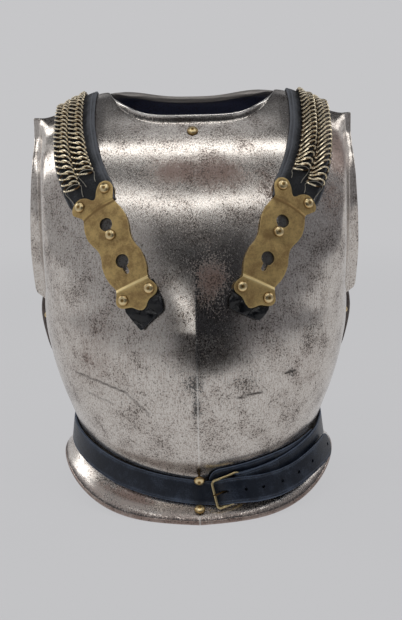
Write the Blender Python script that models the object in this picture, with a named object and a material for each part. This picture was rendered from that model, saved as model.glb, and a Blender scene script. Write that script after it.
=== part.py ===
"""A cuirass of two steel plates, held together by two chain-faced shoulder straps and a waist belt.

Tables and named sizes are in millimetres, and each mesh is made in metres. +Z is up, the chest faces
-Y and +X is to the right of someone who looks at the chest. The origin is on the floor, under the middle
of the cuirass's box.
"""

import bmesh
import bpy
import numpy as np

MM = 0.001

# Both plates. "level" is the height before the rims and the shoulders are bent. The other columns are half
# the width, how far the chest and the back stand out from the side seams, the height of the chest's middle
# ridge, how far the armhole edges are cut back from the seams, and how far the backplate's side bulges past
# the breastplate's.
COLUMNS = ("level", "half_width", "chest", "ridge", "back", "chest_hole", "back_hole", "bulge")
SECTIONS = np.array(
    (
        (0.0, 150.0, 153.5, 4.0, 122.0, 0.0, 0.0, 0.0),
        (5.0, 149.5, 153.0, 4.0, 121.5, 0.0, 0.0, 0.0),
        (11.0, 143.5, 143.0, 4.5, 111.0, 0.0, 0.0, 0.0),
        (20.0, 136.5, 130.5, 5.0, 98.0, 0.0, 0.0, 0.0),
        (29.0, 134.0, 126.0, 5.5, 94.0, 0.0, 0.0, 0.0),
        (42.0, 135.5, 129.0, 6.0, 96.0, 0.0, 0.0, 0.0),
        (60.0, 140.5, 138.0, 6.5, 101.0, 0.0, 0.0, 0.0),
        (85.0, 147.5, 149.5, 6.5, 107.0, 0.0, 0.0, 1.5),
        (115.0, 154.0, 158.5, 6.0, 113.0, 0.0, 0.0, 3.5),
        (150.0, 160.0, 162.0, 5.0, 119.0, 0.0, 0.0, 4.5),
        (190.0, 165.0, 158.5, 3.8, 124.0, 0.0, 0.0, 5.0),
        (203.0, 165.3, 156.0, 3.4, 125.5, 1.0, 1.0, 4.0),
        (230.0, 165.0, 150.5, 2.6, 128.0, 14.0, 14.0, 0.0),
        (270.0, 163.5, 140.0, 1.4, 130.0, 36.0, 30.0, 0.0),
        (310.0, 162.5, 126.0, 0.6, 129.0, 44.0, 38.0, 0.0),
        (345.0, 162.5, 109.0, 0.2, 125.0, 43.0, 37.0, 0.0),
        (375.0, 163.0, 90.0, 0.0, 118.0, 34.0, 30.0, 0.0),
        (395.0, 163.5, 73.0, 0.0, 107.0, 20.0, 20.0, 0.0),
        (411.0, 164.0, 53.0, 0.0, 87.0, 9.0, 11.0, 0.0),
        (422.0, 164.5, 34.0, 0.0, 58.0, 8.0, 9.0, 0.0),
        (430.0, 165.0, 9.0, 0.0, 10.0, 7.5, 8.0, 0.0),
    )
)
TOP_LEVEL = 430.0
WAIST_LEVEL = 29.0
ARMHOLE_FOOT = 203.0
BELLY_LEVEL = 200.0
RIDGE_SPREAD = 28.0
SECTION_POWER = 0.93

# The waist and the rim rise over the hips, and the shoulders fall away outside the neck.
WAIST_RISE = 38.0
RIM_RISE = 38.0
RIM_FLAT_ANGLE = 15.0
RIM_RISE_POWER = 1.5
SHOULDER_FALL = 26.0
SHOULDER_RUN = 75.0
SHOULDER_LEVEL = 300.0

NECK_HALF = 86.0
NECK_LEVEL = 405.0
NECK_POWER = 3.0
NECK_LIP = 6.0
NECK_LIP_RUN = 11.0
COLLAR_RISE = 25.0
COLLAR_LEVEL = 340.0

CHEST_WALL = 2.4
BACK_WALL = 1.4
RIM_WALL = 4.6
RIM_TOP = 24.0
SEAM_GAP = 0.8
FLANGE_RADIUS = 9.0
FLANGE_TURN = 80.0
FLANGE_LIP = 5.0
# Where the flange's points lie: the part of its turn, and the length along its lip past the turn.
FLANGE_STATIONS = ((0.3, 0.0), (0.65, 0.0), (1.0, 0.0), (1.0, FLANGE_LIP))
# The flange starts half turned at the armhole's foot and is whole a little above it.
FLANGE_START = 0.5
FLANGE_RUN = 40.0
SEAM_LAP = 0.35
CORNER_LEVEL = 385.0
CORNER_RUN = 30.0
CORNER_TIGHTEN = 0.6
BACK_FLANGE_FOOT = 222.0
TUCK_ANGLE = 86.0
SWELL_ANGLE = 4.0

# The chest is deeper than the back, so the side seams stand a little behind the origin.
SEAM_Y = 16.1
GAP = 0.35
SIDES = (("left", -1.0), ("right", 1.0))
# Two heights over a surface that give the axis of what stands on it.
AXIS_ENDS = np.array((0.0, 10.0))

LEATHER = 2.4
STRAP_HALF = 24.5
STRAP_GAP = 0.8
STRAP_FOOT = 10.5
# The strap's middle line over the shoulder as (along, aside): "along" is the length from the crest,
# forward below zero and back above it.
STRAP_ROUTE = np.array(
    (
        (-190.0, 85.0),
        (-158.0, 98.0),
        (-135.0, 107.0),
        (-105.0, 115.5),
        (-60.0, 121.0),
        (0.0, 122.5),
        (50.0, 120.0),
        (110.0, 112.0),
    )
)
CHAIN_PITCH = 4.4
CHAIN_HALF = 7.6
CHAIN_HEIGHT = 4.4
CHAIN_DIP = 2.2
# Where the two chain rows run on each strap, as (offset, foot, head): the offset is from the strap's middle,
# outwards above zero, the foot is how far the row stops above the hook plate's rivets, and the head is where
# it ends behind the crest.
CHAIN_ROWS = {"outer": (14.0, 17.0, 86.0), "inner": (-3.0, 15.0, 90.0)}
STRAP_TAIL = 104.0
REAR_RIVET_ALONG = 97.0
REAR_RIVET_ASIDE = 13.0

# A hook plate, from its upper rivets down, as (along, half_width) between the ears round the rivets.
PLATE_WALL = 1.6
PLATE_EDGE = (
    (13.0, 16.8),
    (18.0, 18.6),
    (26.0, 21.0),
    (34.0, 21.8),
    (42.0, 20.8),
    (50.0, 18.6),
    (56.0, 17.8),
    (62.0, 18.6),
    (70.0, 21.0),
    (78.0, 21.6),
    (86.0, 20.6),
    (93.0, 18.2),
    (97.5, 17.2),
)
# The lobe below the lower ears, and half of the notch between the upper ones, as (along, across).
PLATE_FOOT = ((117.0, 11.0), (118.5, 7.5), (121.5, 5.5), (123.5, 3.0), (124.0, 0.0))
PLATE_NOTCH = ((5.0, 0.0), (3.5, 2.2), (-1.5, 5.0))
PLATE_RIVETS = 108.0
RIVET_ASIDE = 14.0
EAR_RADIUS = 8.0
# The turns round each ear from the way the plate hangs, in degrees.
UPPER_EAR_TURNS = (235.0, 205.0, 175.0, 145.0, 115.0, 85.0)
LOWER_EAR_TURNS = (80.0, 50.0, 20.0, -10.0)
PLATE_CUTS = (12.5, 15.5, 38.0, 56.0, 95.5, 98.5)
PLATE_SPLITS = (-10.0, 10.0)
FOLD_TOP = 12.5
FOLD_FOOT = 95.5
FOLD_RUN = 3.0
# Each keyhole: where its round hole is, that hole's radius, where the slot ends and half the slot's width.
KEYHOLES = ((32.5, 6.5, 44.2, 3.1), (72.5, 6.7, 83.5, 2.6))
STUD_ALONG = 44.2
# The middles of the plate's upper and lower rivets on the steel, as (aside, along).
PLATE_UPPER = np.array((98.0, -158.0))
PLATE_LOWER = np.array((54.5, -265.0))

# The pull tab, in the hook plate's lengths, as (along, half_width).
TAB_EDGE = ((100.0, 19.0), (112.0, 19.5), (124.0, 19.0), (131.0, 16.5), (136.0, 9.0))

RIVET_RADIUS = 5.5
RIVET_DOME = 3.2
# A domed head: the turns of its points up from its edge, and how much narrower its underside is.
DOME_TURNS = (10.0, 50.0)
DOME_FOOT = 0.96
DOME_SIDES = 10
STUD_NECK = 2.6
LOWER_STUD_NECK_HEIGHT = 2.0
SIDE_RIVET_RADIUS = 3.6
SIDE_RIVET_DOME = 2.0
SIDE_RIVET_ANGLE = 83.0
SIDE_RIVET_LEVEL = 186.0
NECK_RIVET_LEVEL = 386.0
WAIST_STUD_LEVELS = (11.6, 42.2)
WAIST_STUD_NECK = 1.6
STUD_TIP = 3.0
BELT_RIVET_RUN = 364.0

# The belt's bands, as (run, height, middle, lean, tilt). The run goes round the waist from the middle of the
# chest, the height is how far the band's middle lies off the steel, the middle is the level of its middle
# line, the lean slants it to follow the buckle, and the tilt is how much further off the steel its upper
# edge lies than its lower edge.
BELT_HALF = 12.0
BELT_LEATHER = 2.3
STRAP_PLY = 1.6
BELT_END_RADIUS = 11.0
BELT_END_PART = 0.96
BILLET_ROUTE = (
    (-375.0, 2.2, 29.0, 0.0, 0.0),
    (-60.0, 1.9, 29.0, 0.0, 0.0),
    (-15.0, 1.5, 27.8, 0.0, 0.0),
    (0.0, 1.6, 27.0, 0.1, 0.4),
    (8.0, 2.9, 25.7, 0.28, 2.4),
    (13.5, 3.6, 24.8, 0.28, 3.0),
    (16.0, 4.0, 24.4, 0.28, 3.4),
    (20.0, 6.4, 23.8, 0.28, 4.2),
    (25.0, 9.4, 23.0, 0.28, 5.4),
    (31.0, 11.4, 22.2, 0.2, 6.6),
    (42.0, 12.2, 20.8, 0.1, 8.0),
    (56.0, 10.6, 19.4, 0.0, 8.6),
    (76.0, 8.5, 18.4, 0.0, 8.2),
    (96.0, 6.8, 17.8, 0.0, 7.4),
    (124.0, 6.0, 17.4, 0.0, 6.6),
    (150.0, 6.1, 15.6, 0.0, 6.0),
    (172.0, 7.0, 13.2, 0.0, 5.0),
)
PIVOT_RUN = 40.6
PIVOT_HEIGHT = 6.8
LOOP_RADIUS = 2.45
BUCKLE_LEAN = 0.28
STRAP_LEVEL = 29.0
STRAP_LOWER_PLY = (
    (50.0, 4.35, STRAP_LEVEL, BUCKLE_LEAN, 0.0),
    (60.0, 4.3, STRAP_LEVEL, BUCKLE_LEAN, 0.0),
    (110.0, 3.9, STRAP_LEVEL, 0.0, 0.0),
    (148.0, 3.7, STRAP_LEVEL, 0.0, 0.0),
    (172.0, 2.2, STRAP_LEVEL, 0.0, 0.0),
    (375.0, 1.9, STRAP_LEVEL, 0.0, 0.0),
)
STRAP_UPPER_PLY = (
    (50.0, 8.0, STRAP_LEVEL, BUCKLE_LEAN, 0.0),
    (60.0, 6.5, STRAP_LEVEL, BUCKLE_LEAN, 0.0),
    (84.0, 6.3, STRAP_LEVEL, 0.1, 0.0),
)
SAFE_PLY = 1.2
SAFE_ROUTE = (
    (9.5, 1.3, 37.5, 0.0, 0.0),
    (30.0, 1.3, 38.2, 0.0, 0.0),
    (60.0, 1.3, 37.6, 0.0, 0.0),
    (100.0, 1.2, 34.0, 0.0, 0.0),
    (145.0, 1.2, 29.5, 0.0, 0.0),
)
# The buckle, in runs and in lengths across the strap: its free bar lies over the billet, and its pivot in
# the strap's loop.
FRAME_RUN = 27.0
FRAME_ACROSS = -2.6
PRONG_ACROSS = -1.9
FRAME_HALF_RUN = 14.0
FRAME_HALF_WIDTH = 14.8
FRAME_CORNER = 2.5
FRAME_WIRE = 1.25
FREE_BAR_HEIGHT = 10.4
FREE_BAR_TILT = -3.0
FRAME_TURN = 16.0
# The prong's wire as (run, height).
PRONG_ROUTE = (
    (36.2, 6.9),
    (30.0, 7.0),
    (25.5, 7.6),
    (21.0, 10.0),
    (17.5, 12.3),
    (14.0, 13.1),
    (10.8, 13.1),
)
PRONG_WIRE = 0.85
HOLE_RUNS = (44.0, 62.0, 84.0, 106.0, 128.0, 164.0)
HOLE_RADIUS = 1.6
PUNCH_REACH = 6.0
PRONG_HOLE_RUN = 23.2
PRONG_HOLE_STRETCH = 3.0


def smooth_through(at, knots, values):
    """A cubic through values at rising knots, which never swings past the values it joins."""
    steps = np.diff(knots)
    slopes = np.diff(values) / steps
    first_weight = steps[:-1] + 2 * steps[1:]
    last_weight = 2 * steps[:-1] + steps[1:]
    same_way = slopes[:-1] * slopes[1:] > 0
    before = np.where(same_way, slopes[:-1], 1.0)
    after = np.where(same_way, slopes[1:], 1.0)
    mean = (first_weight + last_weight) / (first_weight / before + last_weight / after)
    tangents = np.concatenate((slopes[:1], np.where(same_way, mean, 0.0), slopes[-1:]))
    at = np.clip(at, knots[0], knots[-1])
    row = np.clip(np.searchsorted(knots, at, side="right") - 1, 0, len(knots) - 2)
    step = steps[row]
    part = (at - knots[row]) / step
    start = values[row] * (2 * part**3 - 3 * part**2 + 1)
    end = values[row + 1] * (3 * part**2 - 2 * part**3)
    leaving = step * tangents[row] * (part**3 - 2 * part**2 + part)
    arriving = step * tangents[row + 1] * (part**3 - part**2)
    return start + end + leaving + arriving


def along_column(name, levels):
    """A column of SECTIONS at any level."""
    return smooth_through(levels, SECTIONS[:, 0], SECTIONS[:, COLUMNS.index(name)])


def ease(part):
    """From 0 to 1 with a level start and end."""
    part = np.clip(part, 0.0, 1.0)
    return part * part * (3.0 - 2.0 * part)


def rise(angle, level):
    """How far a point is lifted over the hips: the rim is flat in its middle, and the waist dips there."""
    waist = WAIST_RISE * np.sin(angle) ** 2
    turned = (np.degrees(np.abs(angle)) - RIM_FLAT_ANGLE) / (90.0 - RIM_FLAT_ANGLE)
    rim = RIM_RISE * ease(turned) ** RIM_RISE_POWER
    flange = rim + (waist - rim) * np.clip(level / WAIST_LEVEL, 0.0, 1.0)
    belly = waist * (1.0 - ease((level - WAIST_LEVEL) / (BELLY_LEVEL - WAIST_LEVEL)))
    return np.where(level < WAIST_LEVEL, flange, belly)


def fall(aside, level):
    """How far a point drops where the shoulders slope away from the neck."""
    outside = ease((np.abs(aside) - NECK_HALF) / SHOULDER_RUN)
    return SHOULDER_FALL * outside * ease((level - SHOULDER_LEVEL) / (TOP_LEVEL - SHOULDER_LEVEL))


def chest(angle, level):
    """The breastplate's outer face, at an angle from -90 to 90 degrees across it, in radians."""
    half = along_column("half_width", level)
    ridge = along_column("ridge", level)
    hole = along_column("chest_hole", level)
    aside = half * np.sin(angle)
    depth = along_column("chest", level) - ridge - hole
    crest = ridge * np.exp(-np.abs(aside) / RIDGE_SPREAD)
    forward = hole + depth * np.abs(np.cos(angle)) ** SECTION_POWER + crest
    height = level + rise(angle, level) - fall(aside, level)
    return np.stack(np.broadcast_arrays(aside, -forward, height), -1)


def back(angle, level, bulge=0.0):
    """The backplate's outer face, at an angle from -90 to 90 degrees across it, widened by a bulge."""
    half = along_column("half_width", level) + bulge
    hole = along_column("back_hole", level)
    aside = half * np.sin(angle)
    depth = along_column("back", level) - hole
    backward = hole + depth * np.abs(np.cos(angle)) ** SECTION_POWER
    inside_neck = np.clip(1.0 - (aside / NECK_HALF) ** 2, 0.0, 1.0)
    collar = COLLAR_RISE * inside_neck * ease((level - COLLAR_LEVEL) / (NECK_LEVEL - COLLAR_LEVEL))
    height = level + rise(angle, level) - fall(aside, level) + collar
    return np.stack(np.broadcast_arrays(aside, backward, height), -1)


def swollen_back(angle, level):
    """The back, with its lower side edges tucked inside the breastplate's and bulging behind them."""
    behind_edge = ease((TUCK_ANGLE - np.degrees(np.abs(angle))) / SWELL_ANGLE)
    lapped = np.where(level < BACK_FLANGE_FOOT, 1.0, 0.0)
    tuck = SEAM_GAP + np.where(level < RIM_TOP, RIM_WALL, CHEST_WALL)
    bulge = behind_edge * along_column("bulge", level) - (1.0 - behind_edge) * tuck * lapped
    return back(angle, level, bulge)


def outward(points, facing):
    """Unit normals of a grid of points: facing is -1 on the chest and 1 on the back."""
    normals = facing * np.cross(np.gradient(points, axis=0), np.gradient(points, axis=1))
    return normals / np.linalg.norm(normals, axis=-1, keepdims=True)


def sheet_levels(angles, low_levels, high_parts):
    """Levels of a plate's rows: even ones low down, then ones drawn together under the neckline."""
    aside = np.abs(along_column("half_width", TOP_LEVEL) * np.sin(angles))
    neckline = NECK_LEVEL + (TOP_LEVEL - NECK_LEVEL) * np.minimum(aside / NECK_HALF, 1.0) ** NECK_POWER
    low = np.repeat(np.array(low_levels)[:, None], len(angles), axis=1)
    split = low_levels[-1]
    high = split + (neckline - split) * np.array(high_parts)[:, None]
    return np.concatenate((low, high)), aside, neckline


def neck_lip(levels, aside, neckline):
    """How far the neck's edge is turned out: nothing at the lip's root and outside the neck."""
    near_edge = np.clip(1.0 - (neckline - levels) / NECK_LIP_RUN, 0.0, 1.0) ** 2
    return NECK_LIP * near_edge * ease((NECK_HALF - aside) / NECK_LIP_RUN)


def with_side_flanges(points, edge_levels, facing, foot):
    """The sheet with a strip added at each side: a flange turned out round the armholes, a lap below."""
    turned = FLANGE_START + (1.0 - FLANGE_START) * ease((edge_levels - foot) / FLANGE_RUN)
    turned = np.where(edge_levels > foot, turned, 0.0)
    tight = 1.0 - CORNER_TIGHTEN * ease((edge_levels - CORNER_LEVEL) / CORNER_RUN)
    left = []
    right = []
    for part, lip in FLANGE_STATIONS:
        turn = np.radians(FLANGE_TURN * part)
        curled_on = FLANGE_RADIUS * np.sin(turn) + lip * np.cos(turn)
        curled_out = FLANGE_RADIUS * (1.0 - np.cos(turn)) + lip * np.sin(turn)
        lap = (FLANGE_RADIUS * turn + lip) * SEAM_LAP
        onward = turned * tight * curled_on + (1.0 - turned) * lap
        step = np.stack((turned * curled_out, -facing * onward, np.zeros(len(onward))), -1)
        right.append(points[:, -1] + step)
        left.append(points[:, 0] + step * (-1.0, 1.0, 1.0))
    return np.concatenate((np.stack(left[::-1], 1), points, np.stack(right, 1)), axis=1)


def wall_inside(outer, facing, wall, rim_rows):
    """The inner face of a wall whose lowest rows thicken into the rim, with both bottom edges level."""
    thickness = np.full(len(outer), wall)
    thickness[:rim_rows] = RIM_WALL
    inner = outer - outward(outer, facing) * thickness[:, None, None]
    inner[0, :, 2] = outer[0, :, 2]
    return inner


def as_grid(points):
    """Face corners of a grid of points, a row for each four-sided face."""
    rows, columns = points.shape[:2]
    index = np.arange(rows * columns).reshape(rows, columns)
    corners = index[:-1, :-1], index[1:, :-1], index[1:, 1:], index[:-1, 1:]
    return np.stack([corner.ravel() for corner in corners], 1)


def edge_of(rows, columns):
    """The indices round a grid's edge, in order."""
    index = np.arange(rows * columns).reshape(rows, columns)
    return np.concatenate((index[0, :-1], index[:-1, -1], index[-1, :0:-1], index[:0:-1, 0]))


def new_object(name, points, faces, material):
    """An object from points in millimetres, with its faces turned outwards."""
    mesh = bpy.data.meshes.new(name)
    mesh.from_pydata((np.asarray(points) + (0.0, SEAM_Y, 0.0)) * MM, [], [list(face) for face in faces])
    mesh.materials.append(material)
    made = bpy.data.objects.new(name, mesh)
    bpy.context.collection.objects.link(made)
    shape = bmesh.new()
    shape.from_mesh(mesh)
    bmesh.ops.recalc_face_normals(shape, faces=shape.faces)
    if shape.calc_volume(signed=True) < 0.0:
        bmesh.ops.reverse_faces(shape, faces=shape.faces)
    shape.to_mesh(mesh)
    shape.free()
    mesh.shade_smooth()
    mesh.set_sharp_from_angle(angle=np.radians(35.0))
    return made


def closed_wall(name, outer, inner, material):
    """One solid between two grids of points of the same size."""
    rows, columns = outer.shape[:2]
    count = rows * columns
    edge = edge_of(rows, columns)
    after = np.roll(edge, -1)
    rim = np.stack((edge, after, after + count, edge + count), 1)
    faces = np.concatenate((as_grid(outer), as_grid(inner)[:, ::-1] + count, rim))
    points = np.concatenate((outer.reshape(-1, 3), inner.reshape(-1, 3)))
    return new_object(name, points, faces, material)


def turned(name, profile, centre, axis, material):
    """A solid turned about an axis from a profile of (radius, height) that starts and ends on it."""
    axis = np.asarray(axis) / np.linalg.norm(axis)
    across = np.cross(axis, (0.0, 0.0, 1.0))
    across /= np.linalg.norm(across)
    beside = np.cross(axis, across)
    sides = DOME_SIDES
    angles = np.arange(sides) * 2.0 * np.pi / sides
    around = np.cos(angles)[:, None] * across + np.sin(angles)[:, None] * beside
    rings = [centre + radius * around + height * axis for radius, height in profile[1:-1]]
    poles = [centre + profile[0][1] * axis, centre + profile[-1][1] * axis]
    points = np.concatenate(rings + [np.array(poles)])
    faces = []
    for ring in range(len(rings) - 1):
        for side in range(sides):
            near = ring * sides + side
            beyond = ring * sides + (side + 1) % sides
            faces.append((near, beyond, beyond + sides, near + sides))
    last = (len(rings) - 1) * sides
    for side in range(sides):
        after = (side + 1) % sides
        faces.append((side, after, len(points) - 2))
        faces.append((last + side, last + after, len(points) - 1))
    return new_object(name, points, faces, material)


def dome(start, radius, rise):
    """The profile of a domed rivet head whose flat underside is at the height start."""
    angles = np.radians(DOME_TURNS)
    curve = [(radius * np.cos(angle), start + rise * np.sin(angle)) for angle in angles]
    return [(0.0, start), (radius * DOME_FOOT, start)] + curve + [(0.0, start + rise)]


def stud(neck, shoulder, radius, rise):
    """The profile of a headed stud whose foot stands on the steel."""
    return [(0.0, GAP), (neck, GAP), (neck, shoulder)] + dome(shoulder, radius, rise)[1:]


def finish(name, colour, metallic, roughness):
    """A Principled material from a colour written as sRGB hex."""
    material = bpy.data.materials.new(name)
    material.use_nodes = True
    shader = material.node_tree.nodes["Principled BSDF"]
    srgb = np.array([int(colour[start : start + 2], 16) / 255.0 for start in (0, 2, 4)])
    linear = np.where(srgb > 0.04045, ((srgb + 0.055) / 1.055) ** 2.4, srgb / 12.92)
    shader.inputs["Base Color"].default_value = (*linear, 1.0)
    shader.inputs["Metallic"].default_value = metallic
    shader.inputs["Roughness"].default_value = roughness
    material.diffuse_color = (*linear, 1.0)
    return material


CHEST_ANGLES = (-90, -86, -80, -72, -64, -56, -48, -40, -31.5, -24, -15, -6)
CHEST_LEVELS = (0, 2.5, 5, 8, 14, 21, 29, 38, 47, 58, 76, 98, 124, 150, 176, 201, 204, 220, 245, 270, 297, 324)
HIGH_PARTS = (0.26, 0.48, 0.66, 0.8, 0.9, 0.95, 1.0)
BACK_ANGLES = (-90, -88, -86, -84, -82, -75, -65, -54, -42, -31.5, -20, -9)
BACK_LEVELS = (0, 2.5, 5, 10, 19, 29, 42, 60, 100, 150, 203, 220.5, 223.5, 260, 320)
RIM_ROWS = 2


def both_sides(angles):
    """Left angles with the middle and the right ones added, in radians."""
    right = tuple(-angle for angle in reversed(angles))
    return np.radians(np.array(angles + (0,) + right, float))


def make_breastplate(steel):
    """The chest: a ridged belly over a pinched waist, with a turned-out neck, armholes and rim."""
    angles = both_sides(CHEST_ANGLES)
    levels, aside, neckline = sheet_levels(angles, CHEST_LEVELS, HIGH_PARTS)
    sheet = chest(angles, levels)
    sheet += neck_lip(levels, aside, neckline)[..., None] * outward(sheet, -1)
    sheet = with_side_flanges(sheet, levels[:, 0], -1, ARMHOLE_FOOT)
    inner = wall_inside(sheet, -1, CHEST_WALL, RIM_ROWS)
    return closed_wall("breastplate", sheet, inner, steel)


def make_backplate(steel):
    """The back, a thinner sheet with a collar, turned-out armholes and a rim."""
    angles = both_sides(BACK_ANGLES)
    levels, _, _ = sheet_levels(angles, BACK_LEVELS, HIGH_PARTS)
    sheet = with_side_flanges(swollen_back(angles, levels), levels[:, 0], 1, BACK_FLANGE_FOOT)
    inner = wall_inside(sheet, 1, BACK_WALL, RIM_ROWS)
    return closed_wall("backplate", sheet, inner, steel)


SHOULDER_ASIDES = np.arange(20.0, 156.0, 3.0)
SHOULDER_ALONGS = np.arange(-330.0, 171.0, 3.0)
CREST_RISE = 1.5
LINE_FOOT = 100.0
LINE_BEND = 420.0


def lengths_along(line):
    """The length run to each point of a line."""
    return np.concatenate(((0.0,), np.cumsum(np.linalg.norm(np.diff(line, axis=0), axis=1))))


def shoulder_lines():
    """Where the line over both plates lies for each distance aside, by its length from the crest."""
    grid = np.empty((len(SHOULDER_ASIDES), len(SHOULDER_ALONGS), 2))
    near_top = np.arange(LINE_BEND, TOP_LEVEL + 0.1, 1.0)
    levels = np.concatenate((np.arange(LINE_FOOT, LINE_BEND, 5.0), near_top))
    crest = np.array(((0.0, TOP_LEVEL + CREST_RISE),))
    for row, aside in enumerate(SHOULDER_ASIDES):
        angle = np.arcsin(np.minimum(aside / along_column("half_width", levels), 1.0))
        front_line = chest(angle, levels)[:, 1:]
        rear_line = back(angle, levels)[::-1, 1:]
        top = crest - (0.0, fall(aside, TOP_LEVEL))
        line = np.concatenate((front_line, top, rear_line))
        lengths = lengths_along(line)
        lengths -= lengths[len(front_line)]
        for axis in (0, 1):
            grid[row, :, axis] = np.interp(SHOULDER_ALONGS, lengths, line[:, axis])
    return grid


SHOULDER_GRID = shoulder_lines()


def over_shoulder(aside, along):
    """Points of the steel's face at a distance aside and a length along from the crest."""
    aside, along = np.broadcast_arrays(aside, along)
    column = (aside - SHOULDER_ASIDES[0]) / (SHOULDER_ASIDES[1] - SHOULDER_ASIDES[0])
    place = (along - SHOULDER_ALONGS[0]) / (SHOULDER_ALONGS[1] - SHOULDER_ALONGS[0])
    left = np.clip(column.astype(int), 0, len(SHOULDER_ASIDES) - 2)
    low = np.clip(place.astype(int), 0, len(SHOULDER_ALONGS) - 2)
    part = (column - left)[..., None]
    step = (place - low)[..., None]
    grid = SHOULDER_GRID
    near = grid[left, low] * (1 - step) + grid[left, low + 1] * step
    far = grid[left + 1, low] * (1 - step) + grid[left + 1, low + 1] * step
    return np.concatenate((aside[..., None], near * (1 - part) + far * part), -1)


def face_of(aside, along):
    """The steel's face and its unit normal, tangent aside and tangent along at each place."""
    reach = 4.0
    point = over_shoulder(aside, along)
    sideways = over_shoulder(aside + reach, along) - over_shoulder(aside - reach, along)
    lengthways = over_shoulder(aside, along + reach) - over_shoulder(aside, along - reach)
    normal = np.cross(sideways, lengthways)
    normal /= np.linalg.norm(normal, axis=-1, keepdims=True)
    return point, normal, sideways / (2 * reach), lengthways / (2 * reach)


def square_to(aside, along, heading):
    """A heading (aside, along) on the steel and the one square to it, each 1 mm long there."""
    _, normal, sideways, lengthways = face_of(aside, along)
    direction = heading[0] * sideways + heading[1] * lengthways
    length = np.linalg.norm(direction)
    square = np.cross(normal, direction / length)
    across = np.linalg.lstsq(np.stack((sideways, lengthways), 1), square, rcond=None)[0]
    return np.asarray(heading) / length, across if across[0] > 0 else -across


def standing_off(aside, along, height, side):
    """Points at a height over the steel, on the left shoulder for a side of -1 and the right one for 1."""
    point, normal, _, _ = face_of(aside, along)
    return (point + normal * np.asarray(height)[..., None]) * (side, 1.0, 1.0)


PLATE_MIDDLE = 0.5 * (PLATE_UPPER + PLATE_LOWER)
PLATE_ON, PLATE_ACROSS = square_to(*PLATE_MIDDLE, PLATE_LOWER - PLATE_UPPER)


def on_plate(along, across, height, side):
    """Points over the steel in a hook plate's own lengths, down from its upper rivets and out."""
    along, across = np.broadcast_arrays(along, across)
    place = PLATE_UPPER + along[..., None] * PLATE_ON + across[..., None] * PLATE_ACROSS
    return standing_off(place[..., 0], place[..., 1], height, side)


def plate_height(along):
    """How far the plate's underside lies off the steel: over the leather at its ends, low between them."""
    raised = ease((FOLD_TOP + FOLD_RUN - along) / FOLD_RUN) + ease((along - FOLD_FOOT) / FOLD_RUN)
    return GAP + raised * (STRAP_GAP + LEATHER)


def plate_outline():
    """The plate's edge as (along, across), down one side, round the foot, up the other and over the ears."""

    def ear_point(along, turn):
        out = RIVET_ASIDE + EAR_RADIUS * np.sin(np.radians(turn))
        return along + EAR_RADIUS * np.cos(np.radians(turn)), out

    upper_ear = [ear_point(0.0, turn) for turn in UPPER_EAR_TURNS]
    lower_ear = [ear_point(PLATE_RIVETS, turn) for turn in LOWER_EAR_TURNS]
    half = list(PLATE_NOTCH) + upper_ear + list(PLATE_EDGE) + lower_ear + list(PLATE_FOOT)
    return half + [(along, -across) for along, across in reversed(half[1:-1])]


def keyhole_outline(round_at, round_radius, slot_end, slot_half):
    """A round hole that a stud's head passes, with a slot below it that only the neck fits."""
    turn = np.arcsin(slot_half / round_radius)
    turns = np.linspace(turn, 2 * np.pi - turn, 13)
    hole = [(round_at + round_radius * np.cos(angle), round_radius * np.sin(angle)) for angle in turns]
    ends = np.linspace(-np.pi / 2, np.pi / 2, 5)
    return hole + [(slot_end + slot_half * np.cos(angle), slot_half * np.sin(angle)) for angle in ends]


def make_hook_plate(name, side, brass):
    """A cut brass sheet with two keyholes, stepped up at both ends over the leather riveted there."""
    flat = bmesh.new()
    edges = []
    for outline in [plate_outline()] + [keyhole_outline(*hole) for hole in KEYHOLES]:
        loop = [flat.verts.new((along, across, 0.0)) for along, across in outline]
        edges += [flat.edges.new((loop[place - 1], loop[place])) for place in range(len(loop))]
    bmesh.ops.triangle_fill(flat, use_beauty=True, edges=edges)
    cuts = [((along, 0.0, 0.0), (1.0, 0.0, 0.0)) for along in PLATE_CUTS]
    cuts += [((0.0, across, 0.0), (0.0, 1.0, 0.0)) for across in PLATE_SPLITS]
    for point, normal in cuts:
        everything = flat.verts[:] + flat.edges[:] + flat.faces[:]
        bmesh.ops.bisect_plane(flat, geom=everything, dist=0.01, plane_co=point, plane_no=normal)
    bmesh.ops.triangulate(flat, faces=flat.faces)
    flat.verts.index_update()
    places = np.array([vertex.co[:2] for vertex in flat.verts])
    triangles = np.array([[vertex.index for vertex in face.verts] for face in flat.faces])
    borders = [[vertex.index for vertex in edge.verts] for edge in flat.edges if edge.is_boundary]
    flat.free()
    along, across = places.T
    under = on_plate(along, across, plate_height(along), side)
    over = on_plate(along, across, plate_height(along) + PLATE_WALL, side)
    count = len(places)
    faces = triangles.tolist() + (triangles[:, ::-1] + count).tolist()
    faces += [(first, last, last + count, first + count) for first, last in borders]
    return new_object(name, np.concatenate((under, over)), faces, brass)


def strap_middle(along):
    """How far aside the strap's middle line is."""
    return np.interp(along, *STRAP_ROUTE.T)


def strap_grid(alongs, offsets, heights, side):
    """Points over a shoulder strap's route: a row for each length along it, a column for each offset."""
    rows = []
    for along, row_heights in zip(alongs, heights):
        middle = strap_middle(along)
        heading = strap_middle(along + 5.0) - strap_middle(along - 5.0), 10.0
        _, across = square_to(middle, along, heading)
        aside = middle + np.asarray(offsets) * across[0]
        place = along + np.asarray(offsets) * across[1]
        rows.append(standing_off(aside, place, row_heights, side))
    return np.stack(rows)


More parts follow.
